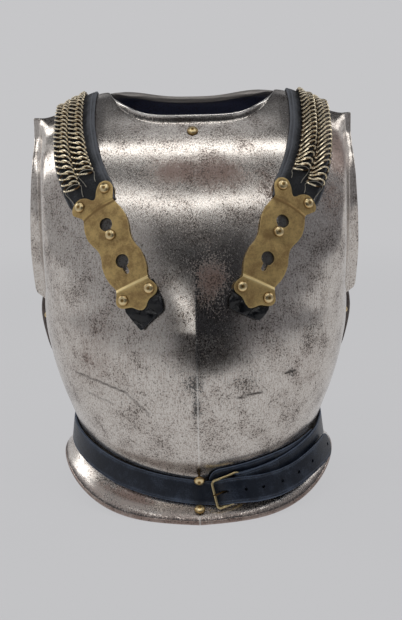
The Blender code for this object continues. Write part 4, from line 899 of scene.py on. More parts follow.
turns = np.arange(LINK_STATIONS) * 2.0 * np.pi / LINK_STATIONS
for word, side in SIDES:
    for row, (offset, foot, head) in CHAIN_ROWS.items():
        start = PLATE_TOP + foot
        count = int((head - start) / CHAIN_PITCH)
        middles = start + (np.arange(count) + 0.5) * CHAIN_PITCH
        aside = (CHAIN_HALF - LINK_WIRE) * np.cos(turns)
        outward = side * np.cos(turns)
        upright = ease((middles[:, None] - start - 4.0) / SKEW_RUN)
        skew = LINK_SKEW[side] * (END_SKEW + (1.0 - END_SKEW) * upright)
        reach = LINK_REACH * np.sin(turns) + skew * (outward - LINK_HOOK * outward**2)
        height = STRAP_GAP + LEATHER + GAP + LINK_WIRE + LINK_TWIST + LINK_TWIST * np.sin(2.0 * turns)
        path = on_strap(middles[:, None] + reach, offset + side * aside, height, side)
        points, faces = wire_along(path, LINK_WIRE, WIRE_SIDES, True)
        name = f"chain_{word}_{row}"
        # Painted highlight: the parts of each wire that the twist raises are painted brighter, and the low
        # parts darker as shade.
        raised = np.tile(np.repeat(np.sin(2.0 * turns), WIRE_SIDES), count)
        fields = {"wear_and_painted_light": 1.4 * ease(0.75 * raised + 0.6)}
        new_piece(f"{name}_links", points, faces, chain_brass, [name], fields)
        part, below, lift = STAPLE.T
        lean = END_SKEW * LINK_SKEW[side] * (part - LINK_HOOK * part**2) * ease((9.0 - below) / 10.0)
        path = on_strap(start - below + lean, offset + part * CHAIN_HALF, STRAP_GAP + LEATHER + lift, side)
        points, faces = wire_along(path[None], STAPLE_WIRE, WIRE_SIDES, False)
        new_piece(f"chain_staple_{word}_{row}", points, faces, staple_wire, None, {"wear_and_painted_light": 0.5})


# ---- The hook plates -------------------------------------------------------------------------------------
# Each strap ends in a plate of 1.6 mm brass, sawn to a double-waisted outline and pierced by two keyholes,
# one of which hangs on a stud of the breastplate. It is bent up at both ends over the leather riveted under
# it.

PLATE_WALL = 1.6
PLATE_LIFT = 1.4
PLATE_DOMING = 0.35
PLATE_DOMING_RUN = 2.5
# The upper and the lower rivets' middle on the steel, as (aside, along).
PLATE_UPPER = np.array((98.0, PLATE_TOP))
PLATE_LOWER = np.array((54.5, -265.0))
PLATE_RIVETS = 108.0
RIVET_ASIDE = 14.0
# The plate's sides from its upper rivets down, as (along, half_width).
PLATE_SIDES = np.array(
    (
        (11.0, 17.7), (13.0, 16.9), (18.0, 18.6), (26.0, 21.0), (34.0, 21.8), (42.0, 20.8), (50.0, 18.6),
        (56.0, 17.8), (62.0, 18.6), (70.0, 21.0), (78.0, 21.6), (86.0, 20.6), (93.0, 18.2), (97.0, 17.2),
        (99.6, 17.7),
    )
)
# Half of the upper and of the lower end's outline from the middle outwards, as (along, across): a notch and
# an ear round a rivet above, a pointed lobe and an ear below.
PLATE_HEAD = np.array(
    (
        (5.0, 0.0), (4.2, 1.4), (1.8, 3.2), (-1.6, 5.0), (-4.6, 7.5), (-6.9, 10.1), (-7.9, 12.9),
        (-7.8, 15.6), (-6.7, 18.3), (-4.6, 20.6), (-2.0, 21.8), (0.8, 22.0), (3.6, 21.2), (7.2, 19.5),
        (11.0, 17.7),
    )
)
PLATE_FOOT = np.array(
    (
        (124.2, 0.0), (123.4, 2.6), (121.3, 5.4), (118.8, 7.8), (117.0, 10.6), (116.0, 14.4), (114.4, 18.7),
        (111.9, 21.0), (109.0, 21.9), (106.2, 21.3), (103.0, 19.7), (99.6, 17.7),
    )
)
HEAD_LINE = 12.4
FOLD_TOP = 12.5
FOLD_FOOT = 95.5
FOLD_RUN = 3.0
PLATE_WAIST = 55.5
# Each keyhole: its round hole's place and radius, where its slot ends, and half the slot's width.
KEYHOLES = ((32.5, 6.5, 44.2, 3.1), (72.5, 6.7, 83.5, 2.6))
KEYHOLE_MIDDLE = 3.5
# Soft dents of the sheet, as (along, across, half_length, half_breadth, depth).
DENTS = np.array(((54.0, 4.0, 5.5, 16.0, 1.5), (22.0, -8.0, 6.0, 7.0, 0.35), (88.0, 6.0, 6.0, 9.0, 0.5)))
STUD_ALONG = 44.2

plate_on, plate_across = square_to(*np.mean((PLATE_UPPER, PLATE_LOWER), 0), PLATE_LOWER - PLATE_UPPER)


def on_plate(along, across, height, side):
    """Points over the steel in a hook plate's own lengths, down from its upper rivets and out from its middle
    line: a straight walk from the upper rivets along the plate's two unit headings."""
    along, across = np.broadcast_arrays(along, across)
    place = PLATE_UPPER + along[..., None] * plate_on + across[..., None] * plate_across
    return standing_off(place[..., 0], place[..., 1], height, side)


def plate_height(along):
    """How far the plate's underside lies off the steel: over the leather at its ends, low between them."""
    raised = ease((FOLD_TOP + FOLD_RUN - along) / FOLD_RUN) + ease((along - FOLD_FOOT) / FOLD_RUN)
    return PLATE_LIFT + raised * (STRAP_GAP + LEATHER + GAP - PLATE_LIFT)


def keyhole_reach(turn, round_at, round_radius, slot_end, slot_half):
    """From the keyhole's middle, how far its edge is at a turn from the way down: the further of the way out
    of its round hole and the way out of its slot, which has straight walls and a round end."""
    origin = round_at + KEYHOLE_MIDDLE
    off = (round_at - origin) * np.cos(turn)
    from_round = off + np.sqrt(round_radius**2 - (round_at - origin) ** 2 + off**2)
    reach = (slot_end - origin) * np.cos(turn)
    from_end = reach + np.sqrt(np.maximum(slot_half**2 - (slot_end - origin) ** 2 + reach**2, 0.0))
    wall = slot_half / np.maximum(np.abs(np.sin(turn)), 1e-6)
    beside_wall = wall * np.cos(turn) < slot_end - origin
    from_slot = np.where(np.cos(turn) > 0.0, np.where(beside_wall, wall, from_end), 0.0)
    return np.maximum(from_round, from_slot)


def whole_outline(half, count):
    """A curve through half an outline and its mirror image, as count points at even lengths."""
    mirrored = half[:0:-1] * (1.0, -1.0)
    outline = np.concatenate((mirrored, half))
    lengths = lengths_along(outline)
    even = np.linspace(0.0, lengths[-1], count)
    return np.stack([smooth_through(even, lengths, column) for column in outline.T], 1)


def flat_strip(lines, half, parts):
    """A flat grid across a band: a row of parts of its half width at each line."""
    return np.stack(np.broadcast_arrays(lines[:, None], half[:, None] * parts), -1)


def round_grid(grid):
    """A flat grid's border, once round and back to its first point."""
    return np.concatenate((grid[0], grid[1:-1, -1], grid[-1, ::-1], grid[-2:0:-1, 0], grid[0, :1]))


def out_to(border, edge, parts):
    """A flat grid whose rows run from a hole's edge out to a border, and whose columns go once round."""
    return edge + (border - edge) * np.array(parts)[:, None, None]


def plate_strip(lines):
    """A flat grid across the plate."""
    return flat_strip(lines, smooth_through(lines, *PLATE_SIDES.T), plate_parts)


def round_keyhole(first, last, keyhole):
    """A flat grid from a keyhole's edge out to the plate's edge and two lines across it, its rows straight
    out from the keyhole's middle."""
    border = round_grid(plate_strip(np.linspace(first, last, 26)))
    middle = np.array((keyhole[0] + KEYHOLE_MIDDLE, 0.0))
    away = border - middle
    turn = np.arctan2(away[:, 1], away[:, 0])
    heading = away / np.linalg.norm(away, axis=1, keepdims=True)
    edge = middle + keyhole_reach(turn, *keyhole)[:, None] * heading
    return out_to(border, edge, (0.0, 0.04, 0.12, 0.24, 0.4, 0.58, 0.76, 0.9, 1.0))


plate_parts = np.linspace(-1.0, 1.0, 41)
rows = np.linspace(0.0, 1.0, 9)[:, None, None]
head_line, foot_line = plate_strip(np.array((HEAD_LINE, FOLD_FOOT + FOLD_RUN)))
upper_fold = np.array((HEAD_LINE, 13.0, 13.6, 14.2, 14.8, FOLD_TOP + FOLD_RUN))
lower_fold = np.array((FOLD_FOOT, 96.1, 96.7, 97.3, 97.9, FOLD_FOOT + FOLD_RUN))
zones = [
    whole_outline(PLATE_HEAD, len(plate_parts)) * (1.0 - rows) + head_line * rows,
    plate_strip(upper_fold),
    round_keyhole(FOLD_TOP + FOLD_RUN, PLATE_WAIST, KEYHOLES[0]),
    round_keyhole(PLATE_WAIST, FOLD_FOOT, KEYHOLES[1]),
    plate_strip(lower_fold),
    foot_line * (1.0 - rows) + whole_outline(PLATE_FOOT, len(plate_parts)) * rows,
]


def flat_sheet(zones):
    """One flat sheet of flat grids that meet: its points, the faces of its two sides and of the walls between
    them, and each point's distance to its border. Equal points of two grids become one, a grid laid the other
    way round is turned over, and the border's edges are those with a face on one side."""
    flat = np.concatenate([zone.reshape(-1, 2) for zone in zones])
    starts = np.cumsum([0] + [zone.shape[0] * zone.shape[1] for zone in zones])
    quads = [grid_faces(*zone.shape[:2]) + start for zone, start in zip(zones, starts)]
    spans = [(flat[quad[:, 2]] - flat[quad[:, 0]], flat[quad[:, 3]] - flat[quad[:, 1]]) for quad in quads]
    areas = [(one[:, 0] * two[:, 1] - one[:, 1] * two[:, 0]).sum() for one, two in spans]
    quads = np.concatenate([quad if area > 0.0 else quad[:, ::-1] for quad, area in zip(quads, areas)])
    _, first_at, merged = np.unique(np.round(flat, 4), axis=0, return_index=True, return_inverse=True)
    flat, quads = flat[first_at], merged.reshape(-1)[quads]
    count = len(flat)
    edges = np.concatenate([np.stack((quads[:, k], quads[:, (k + 1) % 4]), 1) for k in range(4)])
    alone = ~np.isin(edges[:, 0] * count + edges[:, 1], edges[:, 1] * count + edges[:, 0])
    border = edges[alone]
    walls = np.stack((border[:, 1], border[:, 0], border[:, 0] + count, border[:, 1] + count), 1)
    faces = np.concatenate((quads, quads[:, ::-1] + count, walls))
    to_edge = np.linalg.norm(flat[:, None] - flat[border[:, 0]][None], axis=-1).min(1)
    return flat, faces, to_edge


flat, plate_faces, to_edge = flat_sheet(zones)
plate_brass = brass("sawn_sheet_brass", "fbe6ae", "dcbf82", "a98c60", 0.42, 12.0, 0.9)

along, across = flat.T
height = plate_height(along)
domed = PLATE_DOMING * (1.0 - np.exp(-to_edge / PLATE_DOMING_RUN))
over = height + PLATE_WALL + domed - patches(along, across, DENTS)
# Painted light: a thin bright line round the edge and a bright band on the lower fold are painted highlights,
# and dark lines at the upper fold and just above the lower fold are painted shade.
wear_and_painted_light = 0.3 * np.exp(-to_edge / 0.5) + 1.3 * bell(along - FOLD_FOOT - 1.6, 1.4)
wear_and_painted_light -= 1.1 * bell(along - FOLD_TOP - 2.6, 0.6) + 0.5 * bell(along - FOLD_FOOT + 0.4, 0.9)
fields = {"wear_and_painted_light": np.tile(0.05 + wear_and_painted_light, 2)}


def round_edges(piece, name, width, segments, angle):
    """Rounds a piece's edges by a width in metres where its faces meet at more than an angle in degrees."""
    bevel = piece.modifiers.new(name, "BEVEL")
    bevel.width = width
    bevel.segments = segments
    bevel.limit_method = "ANGLE"
    bevel.angle_limit = np.radians(angle)


for word, side in SIDES:
    points = np.concatenate((on_plate(along, across, over, side), on_plate(along, across, height, side)))
    name = f"hook_plate_{word}"
    plate = new_piece(f"{name}_sheet", points, plate_faces, plate_brass, [name], fields)
    round_edges(plate, "filed_edges", 0.0004, 2, 50.0)


# ---- The pull tabs ---------------------------------------------------------------------------------------
# A scrap of thin black leather under each plate's foot, held by its two lower rivets. It has dried out and
# crumpled into glossy folds, and its free edge is cut askew.

TAB_LEATHER = 1.5
TAB_TOP = 101.0
# Each tab's lower edge from its inner to its outer corner, in the plate's own lengths as (across, along).
TAB_EDGES = {
    "left": (
        (-21.5, 122.0), (-18.0, 131.5), (-8.0, 135.0), (3.0, 138.5),
        (9.5, 141.0), (14.0, 130.0), (17.0, 120.0),
    ),
    "right": (
        (-21.0, 124.0), (-17.0, 130.5), (-6.0, 131.5), (6.0, 131.5),
        (14.0, 131.0), (17.0, 126.0), (19.0, 118.0),
    ),
}
TAB_FOLD = 2.03
TAB_FREE_FROM = 108.0
TAB_FREE_RUN = 18.0

tab_leather = strap_leather("crumpled_glossy_leather", "08090c", "2c2e34", 0.12, 1.6)
for word, side in SIDES:
    table = np.array(TAB_EDGES[word])
    across = np.linspace(table[0, 0], table[-1, 0], 61)
    foot = smooth_through(across, *table.T)
    down = np.linspace(0.0, 1.0, 46)[:, None]
    along = TAB_TOP + (foot - TAB_TOP) * down
    across = across * (1.0 - 0.06 * (1.0 - down))
    free = ease((along - TAB_FREE_FROM) / TAB_FREE_RUN)
    askew = 1.0 if word == "left" else 2.4
    creases = np.abs(np.sin(0.15 * across * askew**0.3 + 0.1 * along + askew)) ** 0.7
    creases += 0.5 * np.abs(np.sin(0.2 * across - 0.17 * along + 2.0 * askew)) ** 0.8
    creases += 0.2 * np.sin(0.45 * along + 0.2 * across)
    height = GAP + 0.2 + free * (TAB_FOLD * creases + 0.9)
    under = on_plate(along, across, height, side)
    top = on_plate(along, across, height + TAB_LEATHER, side)
    points, faces, source, _ = shell(top, under, np.full(top.shape[:2], 0.8))
    worn = 0.12 * free * creases + 0.2 * np.exp(-(foot - along) / 1.5)
    name = f"pull_tab_{word}"
    fields = {"worn": worn.ravel()[source]}
    new_piece(f"{name}_leather", points, faces, tab_leather, [name], fields)


# ---- The rivets and studs --------------------------------------------------------------------------------
# Turned brass heads 11 mm across with a peened tip at their middle. Those of the plates and straps hold
# leather, the others stand on bare steel under the neck, at the waist and, smaller, at the side seams.

RIVET_RADIUS = 5.5
RIVET_DOME = 3.2
STUD_NECK = 2.6
SIDE_RIVET_RADIUS = 3.6
SIDE_RIVET_DOME = 2.0
SIDE_RIVET_ANGLE = 83.0
SIDE_RIVET_LEVEL = 186.0
NECK_RIVET_LEVEL = 386.0
WAIST_STUD_NECK = 1.6
STUD_TIP = 3.0
REAR_RIVET_ALONG = 97.0
REAR_RIVET_ASIDE = 13.0
BELT_LEATHER = 2.3
STRAP_PLY = 1.6
HEAD_SIDES = 24
# Each waist stud's level, and the height of its head's underside.
WAIST_STUDS = {"lower": (11.6, 2.0), "upper": (42.2, BELT_LEATHER + 2 * GAP + STUD_TIP)}
# A rivet's axis starts on the steel and runs through a point this far off it.
AXIS_HEIGHTS = np.array((0.0, 10.0))
# A head's outline as parts of its radius and of its dome, from its underside to the peened tip.
HEAD_OUTLINE = np.array(
    (
        (0.1, 0.0), (0.93, 0.003), (0.985, 0.05), (1.0, 0.14), (0.985, 0.27), (0.92, 0.48), (0.8, 0.68),
        (0.63, 0.84), (0.45, 0.93), (0.32, 0.965), (0.24, 0.975), (0.18, 1.0), (0.1, 1.025), (0.02, 1.03),
    )
)

rivet_brass = brass("turned_brass_rivet", "fbe6b4", "c29f68", "7a6038", 0.25, 5.0)


def rivet(name, foot, axis, start, replaced, radius=RIVET_RADIUS, dome=RIVET_DOME, neck=0.0):
    """A head turned about an axis, its underside at the height start, on a neck of that radius if it has one:
    the outline's parts are times the radius and the dome."""
    radii = HEAD_OUTLINE[:, 0] * radius
    heights = start + HEAD_OUTLINE[:, 1] * dome
    if neck:
        radii = np.concatenate(((0.1, neck, neck), radii[1:]))
        heights = np.concatenate(((GAP, GAP + 0.01, start - 0.01), heights[1:]))
    axis = np.asarray(axis) / np.linalg.norm(axis)
    path = (foot + heights[:, None] * axis)[None]
    points, faces = wire_along(path, radii, HEAD_SIDES, False, (0.0, 0.0, 1.0))
    # Painted light: each head is painted dark at its foot as shade and bright towards its top as a highlight,
    # with a slightly darker peened tip.
    wear_and_painted_light = np.interp(heights, (start, start + 0.4 * dome, start + 0.9 * dome), (-0.7, 0.1, 0.7))
    wear_and_painted_light[-5:] = 0.5, 0.1, 0.0, -0.1, -0.2
    fields = {"wear_and_painted_light": np.repeat(wear_and_painted_light, HEAD_SIDES)}
    new_piece(name, points, faces, rivet_brass, [replaced], fields)


for word, side in SIDES:
    places = [(along, across) for along in (0.0, PLATE_RIVETS) for across in (RIVET_ASIDE, -RIVET_ASIDE)]
    over_plate = float(plate_height(np.array(0.0))) + PLATE_WALL + 0.2
    for number, (along, across) in enumerate(places, 1):
        foot, tip = on_plate(along, np.full(2, across), AXIS_HEIGHTS, side)
        name = f"hook_rivet_{word}_{number}"
        rivet(f"{name}_head", foot, tip - foot, over_plate, name)
    foot, tip = on_plate(STUD_ALONG, np.zeros(2), AXIS_HEIGHTS, side)
    name = f"hook_stud_{word}"
    over_plate = PLATE_LIFT + PLATE_WALL + 0.6
    rivet(f"{name}_turned", foot, tip - foot, over_plate, name, neck=STUD_NECK)
    for number, offset in enumerate((-REAR_RIVET_ASIDE, REAR_RIVET_ASIDE), 1):
        foot, tip = on_strap(np.full(2, REAR_RIVET_ALONG), offset, AXIS_HEIGHTS, side)
        name = f"rear_rivet_{word}_{number}"
        rivet(f"{name}_head", foot, tip - foot, STRAP_GAP + LEATHER + 0.1, name)


def rivet_on_steel(name, face, facing, angle, level, start, replaced, **sizes):
    """A rivet square to a plate's face: its axis is the cross product of the ways up and across there."""
    beside = face(angle + 0.02, level) - face(angle - 0.02, level)
    above = face(angle, level + 2.0) - face(angle, level - 2.0)
    rivet(name, face(angle, level), facing * np.cross(above, beside), start, replaced, **sizes)


rivet_on_steel("neck_rivet_head", chest, -1.0, 0.0, NECK_RIVET_LEVEL, 0.1, "neck_rivet")
# The upper stud's head stands clear of the belt, whose edge lies on its neck.
for word, (level, start) in WAIST_STUDS.items():
    name = f"waist_stud_{word}"
    rivet_on_steel(f"{name}_turned", chest, -1.0, 0.0, level, start, name, neck=WAIST_STUD_NECK)
for word, side in SIDES:
    place = (side * np.radians(SIDE_RIVET_ANGLE), SIDE_RIVET_LEVEL, 0.1)
    sizes = {"radius": SIDE_RIVET_RADIUS, "dome": SIDE_RIVET_DOME}
    name = f"side_rivet_{word}"
    rivet_on_steel(f"{name}_head", swollen_back, 1.0, *place, name, **sizes)


# ---- The belt --------------------------------------------------------------------------------------------
# A black belt 24 mm wide lies round the waist in two lengths, both riveted to the middle of the back: a
# billet of smooth bridle leather, and a thinner buckle strap doubled round the buckle, with a broad safe
# under both.

BELT_HALF = 12.0
BELT_END_RADIUS = 11.0
BELT_CREASE_IN = 1.7
BELT_CREASE = 0.28
BUCKLE_LEAN = 0.28
# Routes as (run round the waist from the middle of the chest, height, level, lean, tilt): runs are negative
# on the left; the lean is how far the band slants for each mm across, and the tilt how far it twists.
BILLET_ROUTE = np.array(
    (
        (-375.0, 2.2, 29.0, 0.0, 0.0),
        (-60.0, 1.9, 29.0, 0.0, 0.0),
        (-15.0, 1.5, 27.8, 0.0, 0.0),
        (0.0, 1.6, 27.0, 0.1, 0.4),
        (8.0, 2.9, 25.7, 0.28, 2.4),
        (13.5, 3.6, 24.8, 0.28, 3.0),
        (16.0, 4.0, 24.4, 0.28, 3.4),
        (20.0, 6.4, 23.8, 0.28, 4.2),
        (25.0, 9.4, 23.0, 0.28, 5.4),
        (31.0, 11.4, 22.2, 0.2, 6.6),
        (42.0, 12.2, 20.8, 0.1, 8.0),
        (56.0, 10.6, 19.4, 0.0, 8.6),
        (76.0, 8.5, 18.4, 0.0, 8.2),
        (96.0, 6.8, 17.8, 0.0, 7.4),
        (124.0, 6.0, 17.4, 0.0, 6.6),
        (150.0, 6.1, 15.6, 0.0, 6.0),
        (172.0, 7.0, 13.2, 0.0, 5.0),
    )
)
PIVOT_RUN = 40.6
PIVOT_HEIGHT = 6.8
LOOP_RADIUS = 2.45
STRAP_LOWER_PLY = np.array(
    (
        (50.0, 4.35, WAIST_LEVEL, BUCKLE_LEAN, 0.0),
        (60.0, 4.3, WAIST_LEVEL, BUCKLE_LEAN, 0.0),
        (110.0, 3.9, WAIST_LEVEL, 0.0, 0.0),
        (148.0, 3.7, WAIST_LEVEL, 0.0, 0.0),
        (172.0, 2.2, WAIST_LEVEL, 0.0, 0.0),
        (375.0, 1.9, WAIST_LEVEL, 0.0, 0.0),
    )
)
STRAP_UPPER_PLY = np.array(
    (
        (50.0, 8.0, WAIST_LEVEL, BUCKLE_LEAN, 0.0),
        (60.0, 6.5, WAIST_LEVEL, BUCKLE_LEAN, 0.0),
        (84.0, 6.3, WAIST_LEVEL, 0.1, 0.0),
    )
)
SAFE_PLY = 1.2
SAFE_ROUTE = np.array(
    (
        (9.5, 1.3, 37.5, 0.0, 0.0),
        (30.0, 1.3, 38.2, 0.0, 0.0),
        (60.0, 1.3, 37.6, 0.0, 0.0),
        (100.0, 1.2, 34.0, 0.0, 0.0),
        (145.0, 1.2, 29.5, 0.0, 0.0),
    )
)
HOLE_RUNS = (44.0, 62.0, 84.0, 106.0, 128.0, 164.0)
HOLE_RADIUS = 1.6
HOLE_REACH = 4.0
PRONG_HOLE_RUN = 23.2
PRONG_HOLE_STRETCH = 3.0
PRONG_HOLE_REACH = 7.6
BELT_RIVET_RUN = 364.0


def waist_face(turn, level):
    """The steel's face all the way round at a level, with turn 0 at the middle of the chest."""
    folded = np.arcsin(np.sin(turn))
    in_front = np.cos(turn) >= 0.0
    return np.where(in_front[..., None], chest(folded, level), back(folded, level))


waist_turns = np.radians(np.linspace(-180.0, 180.0, 1441))
waist_runs = lengths_along(waist_face(waist_turns, np.full(len(waist_turns), WAIST_LEVEL)))
waist_runs -= waist_runs[len(waist_runs) // 2]


def over_waist(run, across, height, middle):
    """Points of a band bridging the waist: its two edges touch the steel, and heights stand square off it.
    The normal is the cross product of the way round, over 4 mm, and the way up from edge to edge."""
    run, across, height, middle = np.broadcast_arrays(run, across, height, middle)

    def edges(offset):
        turn = np.interp(run + offset, waist_runs, waist_turns)
        return waist_face(turn, middle - BELT_HALF), waist_face(turn, middle + BELT_HALF)

    low, high = edges(0.0)
    up = (high - low) / np.linalg.norm(high - low, axis=-1, keepdims=True)
    normal = np.cross(sum(edges(2.0)) - sum(edges(-2.0)), up)
    normal /= np.linalg.norm(normal, axis=-1, keepdims=True)
    return 0.5 * (low + high) + up * across[..., None] + normal * height[..., None]


def routed(table, runs):
    """The rows of a band's table at any runs along it."""
    return np.stack([smooth_through(runs, table[:, 0], column) for column in table.T], -1)


def half_at(distance):
    """Half the width of a band at a distance from its rounded end."""
    inside = np.clip(1.0 - distance / BELT_END_RADIUS, 0.0, 0.985)
    return BELT_HALF * np.sqrt(1.0 - inside**2)


def band_face(route, on, across, half, ply):
    """Points on a face of a band, half its thickness off its route: square to on, the route's heading in run
    and height. Its face is creased along both edges."""
    run, height, middle, lean, tilt = np.moveaxis(route, -1, 0)
    on = on / np.linalg.norm(on, axis=-1, keepdims=True)
    from_edge = half - np.abs(across)
    crease = BELT_CREASE * bell(from_edge - BELT_CREASE_IN, 0.4)
    off = ply / 2 - np.sign(ply) * crease * (half > 8.0)
    run = run - on[..., 1] * off
    height = height + on[..., 0] * off + tilt * across / (2 * BELT_HALF)
    return over_waist(run - lean * across, across, height, middle)


def belt_worn(across, half):
    """Where a band is worn grey: along its edges and, less, beside the creases."""
    from_edge = half - np.abs(across)
    return 0.1 + 0.6 * np.exp(-from_edge / 0.7) + 0.25 * bell(from_edge - 2.4, 0.6)


bridle_leather = strap_leather("glazed_black_bridle_leather", "121a27", "5e6b80", 0.27, 0.6)

edge_parts = 1.0 - np.array((0.0, 0.6, 1.1, 1.4, 1.7, 2.0, 2.3, 2.9, 4.5, 6.5, 9.0)) / BELT_HALF
belt_parts = np.concatenate((-edge_parts, (0.0,), edge_parts[::-1]))


def billet_strip(runs):
    """A flat grid across the billet."""
    return flat_strip(runs, half_at(BILLET_ROUTE[-1, 0] - runs), belt_parts)


def round_hole(first, last, run, stretch):
    """A flat grid from a punched hole out to the billet's edges and two lines across it."""
    border = round_grid(billet_strip(np.linspace(first, last, 13)))
    away = border - (run, 0.0)
    turn = np.arctan2(away[:, 1], away[:, 0] / stretch)
    edge = HOLE_RADIUS * np.stack((stretch * np.cos(turn), np.sin(turn)), 1) + (run, 0.0)
    return out_to(border, edge, (0.0, 0.05, 0.15, 0.3, 0.5, 0.66, 0.76, 0.82, 0.86, 0.9, 0.95, 1.0))


before_prong, at = PRONG_HOLE_RUN - PRONG_HOLE_REACH, PRONG_HOLE_RUN + PRONG_HOLE_REACH
round_the_waist = np.arange(BILLET_ROUTE[0, 0], -12.0, 6.0)
to_prong = np.concatenate((round_the_waist, np.arange(-12.0, before_prong - 0.5, 1.5), (before_prong,)))
zones = [billet_strip(to_prong), round_hole(before_prong, at, PRONG_HOLE_RUN, PRONG_HOLE_STRETCH)]
for run in HOLE_RUNS:
    before, after = run - HOLE_REACH, run + HOLE_REACH
    rows = max(int((before - at) / 1.6), 2) + 1
    zones += [billet_strip(np.linspace(at, before, rows)), round_hole(before, after, run, 1.0)]
    at = after
end = BILLET_ROUTE[-1, 0]
zones.append(billet_strip(end - (end - at) * np.linspace(1.0, 0.0, 12) ** 2))
flat, faces, _ = flat_sheet(zones)
run, across = flat.T
route = routed(BILLET_ROUTE, run)
slope = (routed(BILLET_ROUTE, run + 0.5) - routed(BILLET_ROUTE, run - 0.5))[:, :2]
slope[:, 0] = 1.0
half = half_at(end - run)
points = [band_face(route, slope, across, half, face * BELT_LEATHER) for face in (1.0, -1.0)]
points = np.concatenate(points)
fields = {"worn": np.tile(belt_worn(across, half), 2)}
name = "belt_billet"
billet = new_piece(f"{name}_leather", points, faces, bridle_leather, [name], fields)
round_edges(billet, "burnished_edges", 0.00055, 3, 55.0)

# The buckle strap's rows close up from where the billet's tip lies on it.
round_waist = routed(STRAP_LOWER_PLY, np.linspace(STRAP_LOWER_PLY[-1, 0], end, 34)[:-1])
to_buckle = routed(STRAP_LOWER_PLY, np.linspace(end, STRAP_LOWER_PLY[0, 0], 50))
turn = np.radians(np.linspace(-90.0, -270.0, 13))
loop = np.zeros((len(turn), 5))
loop[:, 0] = PIVOT_RUN + LOOP_RADIUS * np.cos(turn)
loop[:, 1] = PIVOT_HEIGHT + LOOP_RADIUS * np.sin(turn)
loop[:, 2], loop[:, 3] = WAIST_LEVEL, BUCKLE_LEAN
from_buckle = routed(STRAP_UPPER_PLY, np.linspace(STRAP_UPPER_PLY[0, 0], STRAP_UPPER_PLY[-1, 0], 18))
safe_run = np.linspace(0.0, 1.0, 60) ** 1.5 * np.ptp(SAFE_ROUTE[:, 0]) + SAFE_ROUTE[0, 0]
bands = {
    "belt_buckle_strap": (np.concatenate((round_waist, to_buckle, loop, from_buckle)), STRAP_PLY, None),
    "belt_safe": (routed(SAFE_ROUTE, safe_run), SAFE_PLY, safe_run - safe_run[0]),
}
for name, (route, ply, from_end) in bands.items():
    on = np.gradient(route[:, :2], axis=0)
    half = np.full((len(route), 1), BELT_HALF) if from_end is None else half_at(from_end)[:, None]
    across = half * belt_parts
    route, on = [np.repeat(values[:, None], len(belt_parts), 1) for values in (route, on)]
    outer, inner = [band_face(route, on, across, half, face * ply) for face in (1.0, -1.0)]
    points, faces, source, _ = shell(outer, inner, np.full(outer.shape[:2], 0.8))
    fields = {"worn": belt_worn(across, half).ravel()[source]}
    new_piece(f"{name}_leather", points, faces, bridle_leather, [name], fields)

over_bands = BILLET_ROUTE[0, 1] + BELT_LEATHER / 2 + 0.15, STRAP_LOWER_PLY[-1, 1] + STRAP_PLY / 2 + 0.15
for (word, side), start in zip(SIDES, over_bands):
    foot, tip = over_waist(side * BELT_RIVET_RUN, 0.0, AXIS_HEIGHTS, WAIST_LEVEL)
    name = f"belt_rivet_{word}"
    rivet(f"{name}_head", foot, tip - foot, start, name)


# ---- The buckle ------------------------------------------------------------------------------------------
# A plain square wire buckle of drawn brass. The strap's loop holds its pivot bar, the billet comes up through
# it over the free bar's place, and the prong of thinner wire goes through a hole and rests on that bar.

FRAME_RUN = 27.0
FRAME_ACROSS = -2.6
PRONG_ACROSS = -1.9
FRAME_HALF_RUN = 14.0
FRAME_HALF_WIDTH = 14.1
FRAME_CORNER = 3.6
FRAME_WIRE = 1.3
FREE_BAR_HEIGHT = 10.4
FREE_BAR_TILT = -3.0
FRAME_TURN = 11.0
PRONG_ROUTE = np.array(
    (
        (36.2, 6.9), (30.0, 7.0), (25.5, 7.6), (21.0, 10.0), (17.5, 12.3), (14.0, 13.1), (10.8, 13.1),
    )
)
PRONG_WIRE = 0.85

buckle_brass = brass("drawn_brass_buckle_wire", "e9d6a4", "a58a5a", "5c4a30", 0.28, 5.0)

frame_turns = np.radians(np.arange(0.0, 360.0, 90.0)[:, None] + np.linspace(0.0, 90.0, 7))
corner_on = np.array((1.0, -1.0, -1.0, 1.0))[:, None] * (FRAME_HALF_RUN - FRAME_CORNER)
corner_across = np.array((1.0, 1.0, -1.0, -1.0))[:, None] * (FRAME_HALF_WIDTH - FRAME_CORNER)
on = (corner_on + FRAME_CORNER * np.cos(frame_turns)).ravel()
across = (corner_across + FRAME_CORNER * np.sin(frame_turns)).ravel()
# Five more points along each straight side, so that the bars bend with the waist.
one_side = np.append(np.arange(6.0), 6.0 + np.arange(6) / 6.0)
spread = np.concatenate([7 * corner + one_side for corner in range(4)])
on, across = [np.interp(spread, np.arange(len(line) + 1), np.append(line, line[0])) for line in (on, across)]
turn = np.radians(FRAME_TURN)
part = (FRAME_HALF_RUN - on) / (2 * FRAME_HALF_RUN)
free_bar = FREE_BAR_HEIGHT + FREE_BAR_TILT * across / (2 * FRAME_HALF_WIDTH)
path = over_waist(
    FRAME_RUN + on * np.cos(turn) - across * np.sin(turn),
    FRAME_ACROSS + on * np.sin(turn) + across * np.cos(turn),
    PIVOT_HEIGHT + part * (free_bar - PIVOT_HEIGHT),
    WAIST_LEVEL,
)
points, faces = wire_along(path[None], FRAME_WIRE, 12, True)
new_piece("buckle_frame_wire", points, faces, buckle_brass, ["buckle_frame"], {"wear_and_painted_light": 0.6})

